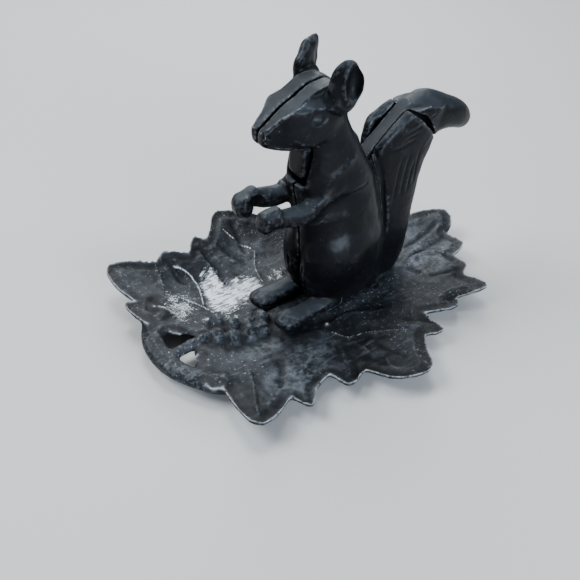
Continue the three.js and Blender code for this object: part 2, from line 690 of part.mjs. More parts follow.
function bodyHalf(side) {
  const shapes = [
    trunk(), tailColumn(), head(), hubRoom(neckWall), haunch(side), foot(side), arm(side), ear(side),
  ];
  const low = side < 0 ? -bodyDepth : halvesGap / 2;
  const sides = [low, low + bodyDepth - halvesGap / 2];
  const room = block([-2 * bodyDepth, 3 * bodyDepth], sides, [0, 2 * squirrelHeight]);
  const tools = [beyondCrownCut(0, 0), leverSlot(), jawPocket()];
  const pinReach = pinLength / 2 + seatGap;
  tools.push(rodAlongY(pivotBehind, pivotHeight, pinRadius + holeClearance, -pinReach, pinReach));
  for (const { x, z, head: headAt } of crossScrews) {
    const shaft = side < 0 ? [-crossScrewReach - seatGap, halvesGap] : [0, headAt + overrun];
    tools.push(rodAlongY(x, z, screwRadius + holeClearance, ...shaft));
    if (side > 0) {
      tools.push(rodAlongY(x, z, screwHeadRadius + holeClearance, headAt, bodyWidth));
    }
  }
  const holeTop = counterbore + baseScrewLength;
  for (const x of [frontScrewX, rearScrewX]) {
    tools.push(rodAlongZ(x, side * baseScrewY, screwRadius + holeClearance, 0, holeTop));
  }
  const half = join(shapes).intersect(room);
  return cut(side < 0 ? join([half, ...bosses()]) : half, tools);
}

// Gripping teeth along the jaw's top, from the hub to the face
function jawTeeth() {
  const toothLength = (jawReach - hubRadius) / jawToothCount;
  const teeth = [];
  for (let k = 0; k < jawToothCount; k += 1) {
    const start = pivotBehind - hubRadius - k * toothLength;
    teeth.push([start, jawTop - jawToothDepth], [start - toothLength / 2, jawTop]);
  }
  return [...teeth, [jawFace, jawTop - jawToothDepth]];
}

function tailLever() {
  const crown = tailColumn().add(crownBar()).intersect(beyondCrownCut(crownSeat, crownGap));
  const webEdge = [...webShares.lower, ...webShares.upper]
    .map(([along, height]) => [bodyX(along), bodyZ(height)]);
  const webSides = [-webThickness / 2 - webOffset, webThickness / 2 - webOffset];
  const web = plate([hubFoot, ...webEdge, hubBack], ...webSides);
  const jaw = plate([
    [jawFace, jawFoot + jawChamfer], [jawFace + jawChamfer / 2, jawFoot], [pivotBehind + jawHeel[0], jawFoot],
    pivotAngle(hubUnderside, hubRadius), pivotAngle(0, 0), [pivotBehind, jawTop], ...jawTeeth(),
  ], -jawWidth / 2, jawWidth / 2);
  const jawSection = roundFooted(jawWidth / 2, jawFoot, jawFootRound, jawTop, jawFace, pivotBehind);
  const hub = rodAlongY(pivotBehind, pivotHeight, hubRadius, -jawWidth / 2, jawWidth / 2);
  const bore = rodAlongY(pivotBehind, pivotHeight, pinRadius + runningClearance, -bodyWidth, bodyWidth);
  return join([crown, web, jaw.intersect(jawSection), hub]).subtract(bore);
}

// Fasteners, each turned from a profile with a driving slot

function screw(length) {
  const tip = screwHeadHeight + length;
  const profile = [
    [0, 0], [screwHeadRadius * 0.8, 0], [screwHeadRadius, screwHeadHeight * 0.4],
    [screwHeadRadius, screwHeadHeight], [screwRadius, screwHeadHeight],
    [screwRadius, tip - screwRadius], [0, tip],
  ].map(([radius, height]) => new THREE.Vector2(radius, height));
  const geometry = new THREE.LatheGeometry(profile, 20);
  geometry.rotateX(Math.PI / 2);
  const reach = 2 * screwHeadRadius;
  const slot = block([-reach, reach], [-driveWidth / 2, driveWidth / 2], [-overrun, driveDepth]);
  return fromGeometry(geometry).subtract(slot);
}

const squirrelCracker = new THREE.Group();
const add = (name, shape, material) => {
  const mesh = toMesh(name, shape, material);
  squirrelCracker.add(mesh);
  return mesh;
};

add('leaf_dish', leafDish(), leafPaint);
add('body_half_left', bodyHalf(-1), bodyPaint);
add('body_half_right', bodyHalf(1), bodyPaint);
add('tail_lever', tailLever(), bodyPaint);
add('pivot_pin', rodAlongY(pivotBehind, pivotHeight, pinRadius, -pinLength / 2, pinLength / 2), steel);

for (const { name, x, z, head: headAt } of crossScrews) {
  const mesh = add(name, screw(headAt + seatGap + crossScrewReach), steel);
  mesh.rotation.x = Math.PI / 2;
  mesh.position.set(x, headAt + seatGap + screwHeadHeight, z);
}

for (const [row, x] of [['front', frontScrewX], ['rear', rearScrewX]]) {
  for (const [side, y] of [['left', -baseScrewY], ['right', baseScrewY]]) {
    const head = counterbore - washerThickness - screwHeadHeight - seatGap;
    add(`base_screw_${row}_${side}`, screw(baseScrewLength), steel).position.set(x, y, head);
    const washerTop = counterbore - seatGap / 2;
    const washer = rodAlongZ(x, y, washerRadius, washerTop - washerThickness, washerTop)
      .subtract(rodAlongZ(x, y, screwRadius + holeClearance, 0, counterbore));
    add(`base_washer_${row}_${side}`, washer, steel);
  }
}

// The origin is the middle of the footprint, on the ground
const footprint = new THREE.Box3().setFromObject(squirrelCracker);
const { x: middleX, y: middleY } = footprint.getCenter(at(0, 0, 0));
squirrelCracker.position.set(-middleX, -middleY, 0);

export default squirrelCracker;
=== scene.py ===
import json
import math
import bmesh
import bpy
import numpy as np
from mathutils import Matrix, Vector, noise
from mathutils.kdtree import KDTree


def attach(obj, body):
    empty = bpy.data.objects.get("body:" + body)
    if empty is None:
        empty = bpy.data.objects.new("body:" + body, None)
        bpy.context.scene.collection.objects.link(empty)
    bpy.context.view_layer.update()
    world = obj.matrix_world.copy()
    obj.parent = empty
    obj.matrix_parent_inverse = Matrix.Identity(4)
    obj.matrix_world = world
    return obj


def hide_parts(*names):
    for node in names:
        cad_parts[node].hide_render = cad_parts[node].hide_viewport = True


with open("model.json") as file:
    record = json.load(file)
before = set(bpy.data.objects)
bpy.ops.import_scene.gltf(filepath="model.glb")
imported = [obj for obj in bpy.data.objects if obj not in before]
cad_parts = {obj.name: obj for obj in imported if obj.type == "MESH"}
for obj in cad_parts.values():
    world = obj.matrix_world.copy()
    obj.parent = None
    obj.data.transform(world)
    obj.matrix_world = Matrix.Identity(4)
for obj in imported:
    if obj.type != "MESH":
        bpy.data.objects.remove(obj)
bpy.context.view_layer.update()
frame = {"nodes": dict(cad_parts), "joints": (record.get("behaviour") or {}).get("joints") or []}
print("frame loaded")

# A cast squirrel on a leaf dish. Places on it are in millimetres from the squirrel's own upright line,
# with the squirrel facing -X, its left side at -Y and the table at zero height.
pin = frame["joints"][0]["pos_m"]
pinBehind = 0.008  # of the squirrel's upright line, in metres
pinHeight = 0.106
squirrelOrigin = np.array([pin[0] - pinBehind, pin[1], pin[2] - pinHeight])
millimetre = 0.001
tiny = 1e-9  # keeps a division from meeting zero
fullBulge = 0.25 * millimetre  # that counts as a full edge or a full hollow


def readPoints(mesh):
    points = np.empty(len(mesh.vertices) * 3)
    mesh.vertices.foreach_get("co", points)
    return points.reshape(-1, 3)


def readNormals(mesh):
    normals = np.empty(len(mesh.vertices) * 3)
    mesh.vertices.foreach_get("normal", normals)
    return normals.reshape(-1, 3)


def readEdges(mesh):
    edges = np.empty(len(mesh.edges) * 2, dtype=np.int64)
    mesh.edges.foreach_get("vertices", edges)
    return edges.reshape(-1, 2)


def writePoints(mesh, points):
    mesh.vertices.foreach_set("co", points.ravel())
    mesh.update()


def average(values, edges, weights=None):
    # Mean of each vertex's neighbours, with a weight for each direction of each edge
    first, second = edges[:, 0], edges[:, 1]
    there = np.ones(len(edges)) if weights is None else weights[0]
    back = np.ones(len(edges)) if weights is None else weights[1]
    count = len(values)
    total = np.bincount(first, there, count) + np.bincount(second, back, count)
    result = np.empty_like(values)
    for axis in range(values.shape[1]):
        column = values[:, axis]
        result[:, axis] = (np.bincount(first, there * column[second], count)
                           + np.bincount(second, back * column[first], count))
    known = total > 0
    result[known] /= total[known][:, None]
    result[~known] = values[~known]
    return result


def spread(values, edges, steps):
    column = values.reshape(-1, 1).astype(float)
    for _ in range(steps):
        column += 0.5 * (average(column, edges) - column)
    return column[:, 0]


def ramp(values, low, high):
    part = np.clip((values - low) / (high - low), 0, 1)
    return part * part * (3 - 2 * part)


def toPart(places):
    return np.asarray(places, float).reshape(-1, 3) * millimetre + squirrelOrigin


def toSquirrel(points):
    return (points - squirrelOrigin) / millimetre


def mirrored(places, side):
    places = np.asarray(places, float).reshape(-1, 3).copy()
    places[:, 1] *= -side
    return places


def mergedCopy(node):
    bm = bmesh.new()
    bm.from_mesh(frame["nodes"][node].data)
    bmesh.ops.remove_doubles(bm, verts=bm.verts, dist=0.00001)
    return bm


def pointsAlong(edges, step=0.0005):
    # Points a step apart, in metres, along each edge
    found = []
    for edge in edges:
        start, end = edge.verts[0].co, edge.verts[1].co
        count = max(1, math.ceil(edge.calc_length() / step))
        found += [start.lerp(end, k / count) for k in range(count + 1)]
    return found


def inBox(places, low, high):
    return ((places > low) & (places < high)).all(1)


def outside(places, boxes):
    # The places that lie in none of the boxes
    squirrelPlaces = toSquirrel(np.array(places))
    kept = np.ones(len(places), bool)
    for low, high in boxes:
        kept &= ~inBox(squirrelPlaces, low, high)
    return [place for place, keep in zip(places, kept) if keep]


def sharpEdges(bm, limit):
    # The outward edges of a solid whose faces turn by more than the limit, in radians
    bm.normal_update()
    return [edge for edge in bm.edges
            if len(edge.link_faces) == 2 and edge.calc_face_angle_signed(0) > limit]


def creasePoints(bm, limit, boxes):
    return outside(pointsAlong(sharpEdges(bm, limit)), boxes)


def rimPoints(bm, facing, limit, boxes):
    # Points along the sharp edges of a wall's upper side (1) or under side (-1)
    rim = [edge for edge in sharpEdges(bm, limit)
           if sum(face.normal.z for face in edge.link_faces) * facing > 0.1]
    return outside(pointsAlong(rim), boxes)


def addBall(bm, place, reach, turn=0, sides=48):
    # An ellipsoid in millimetres, turned about the upright
    made = bmesh.ops.create_uvsphere(bm, u_segments=sides, v_segments=sides // 2, radius=1)
    bmesh.ops.scale(bm, vec=Vector(reach) * millimetre, verts=made["verts"])
    turning = Matrix.Rotation(math.radians(turn), 3, "Z")
    bmesh.ops.rotate(bm, cent=(0, 0, 0), matrix=turning, verts=made["verts"])
    bmesh.ops.translate(bm, vec=Vector(toPart(place)[0]), verts=made["verts"])


def cast(name, bm, voxel):
    # One closed skin over everything in the bmesh
    mesh = bpy.data.meshes.new(name)
    bm.to_mesh(mesh)
    bm.free()
    rough = bpy.data.objects.new(name + "Rough", mesh)
    bpy.context.scene.collection.objects.link(rough)
    remesh = rough.modifiers.new("Remesh", "REMESH")
    remesh.mode = "VOXEL"
    remesh.voxel_size = voxel
    remesh.use_smooth_shade = True
    depsgraph = bpy.context.evaluated_depsgraph_get()
    skin = bpy.data.meshes.new_from_object(rough.evaluated_get(depsgraph))
    skin.name = name
    bpy.data.objects.remove(rough)
    piece = bpy.data.objects.new(name, skin)
    bpy.context.scene.collection.objects.link(piece)
    skin.calc_loop_triangles()
    print(name, len(skin.loop_triangles), "triangles")
    return piece


def distanceTo(piece, places):
    # How far each vertex is from the nearest of the places, in millimetres
    tree = KDTree(len(places))
    for index, place in enumerate(places):
        tree.insert(place, index)
    tree.balance()
    return np.array([tree.find(point)[2] for point in readPoints(piece.data)]) / millimetre


def smoothingSteps(piece, usual, calmer):
    # How often each vertex is smoothed: the usual number, or another inside a box of places
    steps = np.full(len(piece.data.vertices), usual)
    places = toSquirrel(readPoints(piece.data))
    for low, high, count in calmer:
        steps[inBox(places, low, high)] = count
    return steps


def soften(piece, steps, crease, finish=3):
    # Smooths the facets away. The vertices of a crease follow only each other, until the last few rounds.
    mesh = piece.data
    points, edges = readPoints(mesh), readEdges(mesh)
    first, second = crease[edges[:, 0]], crease[edges[:, 1]]
    weights = (np.where(first & ~second, 0.0, 1.0), np.where(second & ~first, 0.0, 1.0))
    for step in range(int(steps.max())):
        pace = np.where(steps > step, 0.5, 0.0)
        points += pace[:, None] * (average(points, edges, weights) - points)
    for _ in range(finish):
        points += 0.3 * (average(points, edges) - points)
    writePoints(mesh, points)


class Surface:
    # The vertices of a piece while they are worked on, in millimetres, with the wear that the work leaves
    strokeReach = 2.5  # in widths of a line
    wornShare = 0.42  # of a line's width
    taperRate = 5
    farOff = 1000  # past every piece

    def __init__(self, piece, flatAxis=None):
        self.mesh = piece.data
        self.points = toSquirrel(readPoints(self.mesh))
        self.normals = readNormals(self.mesh)
        self.wear = np.zeros(len(self.points))
        self.flatAxis = flatAxis

    def nearby(self, line, reach):
        low, high = line.min(0) - reach, line.max(0) + reach
        if self.flatAxis is not None:
            low[self.flatAxis], high[self.flatAxis] = -self.farOff, self.farOff
        return np.where(inBox(self.points, low, high))[0]

    def away(self, near, line):
        # Shortest distance to a line of places, and how far along it that is
        points = self.points[near].copy()
        if self.flatAxis is not None:
            points[:, self.flatAxis] = 0
            line = line.copy()
            line[:, self.flatAxis] = 0
        best = np.full(len(points), np.inf)
        along = np.zeros(len(points))
        lengths = np.linalg.norm(np.diff(line, axis=0), axis=1)
        total, passed = max(lengths.sum(), tiny), 0.0
        for start, end, length in zip(line[:-1], line[1:], lengths):
            step = (end - start) / max(length, tiny)
            part = np.clip((points - start) @ step, 0, length)
            distance = np.linalg.norm(points - start - part[:, None] * step, axis=1)
            closer = distance < best
            best = np.where(closer, distance, best)
            along = np.where(closer, (passed + part) / total, along)
            passed += length
        return best, along

    def stroke(self, places, width, height, wear=0.0, side=0, taper=True):
        # A ridge, or a groove where the height is below zero, along a smooth line through the places
        line = roundedLine(places if side == 0 else mirrored(places, side))
        near = self.nearby(line, self.strokeReach * width)
        if len(near) == 0:
            return
        distance, along = self.away(near, line)
        strength = np.exp(-(distance / width) ** 2)
        if taper:
            strength *= np.sqrt(np.clip(self.taperRate * along * (1 - along), 0, 1))
        self.points[near] += self.normals[near] * (strength * height)[:, None]
        mark = np.exp(-(distance / max(self.wornShare, self.wornShare * width)) ** 2) * wear
        self.wear[near] = np.maximum(self.wear[near], mark)

    def nearness(self, centre, reach):
        # 1 at the middle of an ellipsoid, falling to 0 at its skin
        away = np.linalg.norm((self.points - np.asarray(centre, float)) / np.asarray(reach, float), axis=1)
        return np.clip(1 - away ** 2, 0, 1) ** 2

    def dome(self, place, reach, height, side=0, wear=0.0):
        # A round swelling, or a dent where the height is below zero
        strength = self.nearness(place if side == 0 else mirrored(place, side)[0], reach)
        self.points += self.normals * (strength * height)[:, None]
        self.wear = np.maximum(self.wear, strength * wear)

    def grab(self, place, reach, move):
        # Pulls the surface round a place
        self.points += self.nearness(place, reach)[:, None] * np.asarray(move, float)

    def unevenness(self, size, height, where=None):
        # The slight waves of a sand casting
        chosen = np.arange(len(self.points)) if where is None else np.where(where)[0]
        scale = 1 / size
        waves = np.array([noise.noise(place) for place in self.points[chosen] * scale])
        self.points[chosen] += self.normals[chosen] * (waves * height)[:, None]

    def keep(self):
        writePoints(self.mesh, toPart(self.points))
        self.normals = readNormals(self.mesh)


def roundedLine(places, steps=4):
    # A smooth line through a few places
    places = np.asarray(places, float).reshape(-1, 3)
    if len(places) < 3:
        return places
    ends = np.vstack([2 * places[0] - places[1], places, 2 * places[-1] - places[-2]])
    line = []
    for before, start, end, after in zip(ends[:-3], ends[1:-2], ends[2:-1], ends[3:]):
        for k in range(steps):
            t = k / steps
            line.append(0.5 * (2 * start + (end - before) * t
                               + (2 * before - 5 * start + 4 * end - after) * t ** 2
                               + (3 * start - before - 3 * end + after) * t ** 3))
    line.append(places[-1])
    return np.array(line)


def addAttribute(mesh, name, values):
    attribute = mesh.attributes.new(name, "FLOAT", "POINT")
    attribute.data.foreach_set("value", np.asarray(values).astype(np.float32))


def markSurface(piece, wear, rim, steps):
    # How much each place is worn, stands out or lies in a hollow, and how far it faces up
    mesh = piece.data
    points, normals, edges = readPoints(mesh), readNormals(mesh), readEdges(mesh)
    smooth = points.copy()
    for _ in range(steps):
        smooth += 0.5 * (average(smooth, edges) - smooth)
    bulge = ((points - smooth) * normals).sum(1) / fullBulge
    addAttribute(mesh, "wear", np.clip(wear, 0, 1))
    addAttribute(mesh, "rim", rim)
    addAttribute(mesh, "edge", spread(np.clip(bulge, 0, 1), edges, 1))
    # Hollowness, which the paints darken as painted shade
    addAttribute(mesh, "hollow", spread(np.clip(-bulge, 0, 1), edges, 2))
    # How far each place faces up. The body's paint greys there with dust and a painted sheen of the sky
    # light.
    addAttribute(mesh, "upward", spread(ramp(normals[:, 2], 0.2, 0.9), edges, 4))


def settle(piece, body, node, slotName):
    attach(piece, body)
    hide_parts(node)
    piece.data.materials.clear()
    piece.data.materials.append(paints[slotName])


class Socket:
    # A value in a material's node tree that can be used in sums

    def __init__(self, sheet, source):
        self.sheet, self.source = sheet, source

    def math(self, operation, *others):
        return self.sheet.add("ShaderNodeMath", {"operation": operation}, [self, *others])

    def __add__(self, other):
        return self.math("ADD", other)

    def __radd__(self, other):
        return self.math("ADD", other)

    def __sub__(self, other):
        return self.math("SUBTRACT", other)

    def __rsub__(self, other):
        return self.sheet.add("ShaderNodeMath", {"operation": "SUBTRACT"}, [other, self])

    def __mul__(self, other):
        return self.math("MULTIPLY", other)

    def __rmul__(self, other):
        return self.math("MULTIPLY", other)

    def atMost(self, limit):
        return self.math("MINIMUM", limit)

    def above(self, low, high):
        settings = {"interpolation_type": "SMOOTHSTEP", "clamp": True}
        values = {"Value": self, "From Min": low, "From Max": high}
        return self.sheet.add("ShaderNodeMapRange", settings, values)


class FinishSheet:
    # One material and the nodes added to it

    def __init__(self, name, **fixed):
        self.material = bpy.data.materials.new(name)
        self.material.use_nodes = True
        self.nodes = self.material.node_tree.nodes
        self.links = self.material.node_tree.links
        self.shader = next(node for node in self.nodes if node.type == "BSDF_PRINCIPLED")
        for socketName, value in fixed.items():
            self.shader.inputs[socketName.replace("_", " ")].default_value = value
        self.place = self.add("ShaderNodeTexCoord", {}, {}, "Object")

    def add(self, kind, settings, values, output=0):
        node = self.nodes.new(kind)
        for key, value in settings.items():
            setattr(node, key, value)
        pairs = values.items() if isinstance(values, dict) else enumerate(values)
        for key, value in pairs:
            if isinstance(value, Socket):
                self.links.new(value.source, node.inputs[key])
            else:
                node.inputs[key].default_value = value
        return Socket(self, node.outputs[output])

    def noise(self, scale, detail, roughness, place=None):
        values = {"Vector": self.place if place is None else place, "Scale": scale, "Detail": detail,
                  "Roughness": roughness}
        return self.add("ShaderNodeTexNoise", {}, values)

    def streaks(self, scale, turn, stretch, detail, roughness):
        place = self.add("ShaderNodeMapping", {}, {"Vector": self.place, "Rotation": turn, "Scale": stretch})
        return self.noise(scale, detail, roughness, place)

    def attribute(self, name):
        return self.add("ShaderNodeAttribute", {"attribute_name": name}, {}, "Fac")

    def blend(self, factor, first, second):
        values = {0: factor, 6: first, 7: second}
        return self.add("ShaderNodeMix", {"data_type": "RGBA"}, values, 2)

    def bump(self, height, strength, distance, under=None):
        values = {"Height": height, "Strength": strength, "Distance": distance}
        if under is not None:
            values["Normal"] = under
        return self.add("ShaderNodeBump", {}, values)

    def give(self, **links):
        for socketName, value in links.items():
            self.links.new(value.source, self.shader.inputs[socketName.replace("_", " ")])
        return self.material


# Colours and gloss of the body's paint
bodyTones = {
    "specular": 0.09,
    "roughness": 0.26,
    "deep": (0.0016, 0.0016, 0.0020, 1),
    "lit": (0.0034, 0.0034, 0.0042, 1),
    # grey of faces that look up: dust, with a painted sheen of the sky light
    "dustAndSheen": (0.032, 0.038, 0.043, 1),
    "scuff": (0.11, 0.12, 0.13, 1),
    "rubbed": (0.34, 0.35, 0.36, 1),
    "speck": (0.16, 0.17, 0.18, 1),
    # painted shade for hollows
    "hollow": (0.002, 0.0022, 0.0025, 1),
}


def bodyPaint():
    tones = bodyTones
    sheet = FinishSheet("bodyPaint", Metallic=0.0, Specular_IOR_Level=tones["specular"])
    edge, hollow, upward, wear, rim = (
        sheet.attribute(name) for name in ("edge", "hollow", "upward", "wear", "rim"))
    cloud = sheet.noise(45, 5, 0.6)
    speck = sheet.noise(900, 2, 0.6)
    chips = sheet.noise(420, 4, 0.65)
    paint = sheet.blend(cloud.above(0.35, 0.65), tones["deep"], tones["lit"])
    # Faces that look up turn grey: dust together with a painted sheen of the sky light
    dustedAndSheened = sheet.blend(upward * (0.35 + cloud.above(0.3, 0.7) * 0.4), paint, tones["dustAndSheen"])
    scuffed = sheet.blend(edge.above(0.3, 1.0) * chips.above(0.45, 0.6) * 0.18, dustedAndSheened, tones["scuff"])
    worn = wear.above(0.25, 0.8) * chips.above(0.38, 0.55)
    lines = (worn + rim * (0.05 + chips.above(0.46, 0.6) * 0.25)).atMost(1.0)
    rubbed = sheet.blend(lines, scuffed, tones["rubbed"])
    speckled = sheet.blend(speck.above(0.72, 0.78) * 0.4, rubbed, tones["speck"])
    # Hollows are darkened: painted shade
    colour = sheet.blend(hollow.above(0.2, 0.9) * 0.7, speckled, tones["hollow"])
    roughness = tones["roughness"] + cloud * 0.12 + upward * 0.1 + hollow * 0.15
    normal = sheet.bump(sheet.noise(260, 4, 0.6), 0.25, 0.0004)
    normal = sheet.bump(speck, 0.08, 0.0002, normal)
    return sheet.give(Base_Color=colour, Roughness=roughness, Normal=normal)


# Colours and gloss of the leaf's paint
leafTones = {
    "specular": 0.15,
    "roughness": 0.40,
    "deep": (0.004, 0.005, 0.006, 1),
    "lit": (0.012, 0.014, 0.017, 1),
    "mottle": (0.028, 0.032, 0.037, 1),
    "streak": (0.055, 0.063, 0.071, 1),
    # grey of dust on the lobes, with a painted sheen of the light
    "dustAndSheen": (0.105, 0.119, 0.133, 1),
    # painted shade in the band just inside the rim
    "lip": (0.005, 0.0055, 0.006, 1),
    "scuff": (0.10, 0.11, 0.12, 1),
    "line": (0.46, 0.48, 0.50, 1),
    "haze": (0.16, 0.17, 0.18, 1),
    "bare": (0.55, 0.57, 0.59, 1),
    "flake": (0.46, 0.48, 0.49, 1),
    "speck": (0.42, 0.44, 0.45, 1),
    # painted shade for hollows
    "hollow": (0.003, 0.0032, 0.0036, 1),
}


def leafPaint():
    tones = leafTones
    sheet = FinishSheet("leafPaint", Metallic=0.0, Specular_IOR_Level=tones["specular"])
    edge, hollow, wear, rim, lip, bare, rubbed, dustAndSheen = (
        sheet.attribute(name) for name in ("edge", "hollow", "wear", "rim", "lip", "bare", "rubbed", "dustAndSheen"))
    cloud = sheet.noise(28, 6, 0.62)
    mottle = sheet.noise(150, 5, 0.65)
    scuff = sheet.noise(420, 4, 0.7)
    along = sheet.streaks(230, (0, 0, 0.14), (1, 4, 1), 5, 0.7)
    grain = sheet.streaks(60, (0, 0, -0.6), (1, 6, 1), 4, 0.6)
    paint = sheet.blend(cloud.above(0.38, 0.64), tones["deep"], tones["lit"])
    mottled = sheet.blend(mottle.above(0.5, 0.72) * 0.7, paint, tones["mottle"])
    streaked = sheet.blend(grain.above(0.56, 0.72) * 0.6, mottled, tones["streak"])
    # Grey on the lobes in the dish's listed places: dust, with a painted sheen of the light
    dustAndSheenMask = dustAndSheen * (mottle.above(0.35, 0.65) * 0.75 + scuff.above(0.46, 0.62) * 0.5)
    dustedAndSheened = sheet.blend(dustAndSheenMask.atMost(1.0), streaked, tones["dustAndSheen"])
    # A dark band just inside the rim: painted shade
    lipShaded = sheet.blend(lip.above(0.1, 0.8) * 0.55, dustedAndSheened, tones["lip"])
    scuffs = edge.above(0.4, 1.0) * scuff.above(0.48, 0.62)
    risen = sheet.blend(scuffs * 0.4, lipShaded, tones["scuff"])
    lines = (wear.above(0.25, 0.8) * scuff.above(0.36, 0.52) + rim * scuff.above(0.36, 0.5)).atMost(1.0)
    lined = sheet.blend(lines * 0.9, risen, tones["line"])
    haze = (bare * 1.1 + (scuff - 0.5) * 2.6 * bare.above(0.0, 0.15)).above(0.3, 0.7)
    hazed = sheet.blend(haze * 0.6, lined, tones["haze"])
    broken = (along - 0.5) * 5.0 + (mottle - 0.5) * 2.4
    patch = (bare * 0.85 + broken * bare.above(0.0, 0.15)).above(0.54, 0.76)
    bright = sheet.blend(patch, hazed, tones["bare"])
    chip = sheet.noise(1100, 4, 0.7)
    flakes = (chip * 0.6 + mottle * 0.4 + rubbed * 0.13).above(0.63, 0.69)
    flaked = sheet.blend(flakes * rubbed.above(0.05, 0.5) * 0.85, bright, tones["flake"])
    specks = sheet.noise(620, 3, 0.75).above(0.62, 0.68) * cloud.above(0.42, 0.6)
    speckled = sheet.blend(specks * 0.5, flaked, tones["speck"])
    # Hollows are darkened: painted shade
    colour = sheet.blend(hollow.above(0.2, 0.9) * 0.6, speckled, tones["hollow"])
    roughness = tones["roughness"] + cloud * 0.2 + hollow * 0.12 + patch * 0.1
    normal = sheet.bump(mottle, 0.6, 0.001)
    normal = sheet.bump(scuff, 0.15, 0.0003, normal)
    return sheet.give(Base_Color=colour, Roughness=roughness, Normal=normal)


def steelFinish():
    sheet = FinishSheet("steelFinish", Metallic=1.0)
    grain = sheet.noise(700, 3, 0.6)
    tone = sheet.noise(120, 3, 0.5)
    colour = sheet.blend(tone.above(0.4, 0.65), (0.38, 0.39, 0.40, 1), (0.55, 0.56, 0.56, 1))
    return sheet.give(Base_Color=colour, Roughness=0.28 + tone * 0.2, Normal=sheet.bump(grain, 0.1, 0.0001))


paints = {"black": bodyPaint(), "worn_black": leafPaint(), "steel": steelFinish()}
print("finishes made")

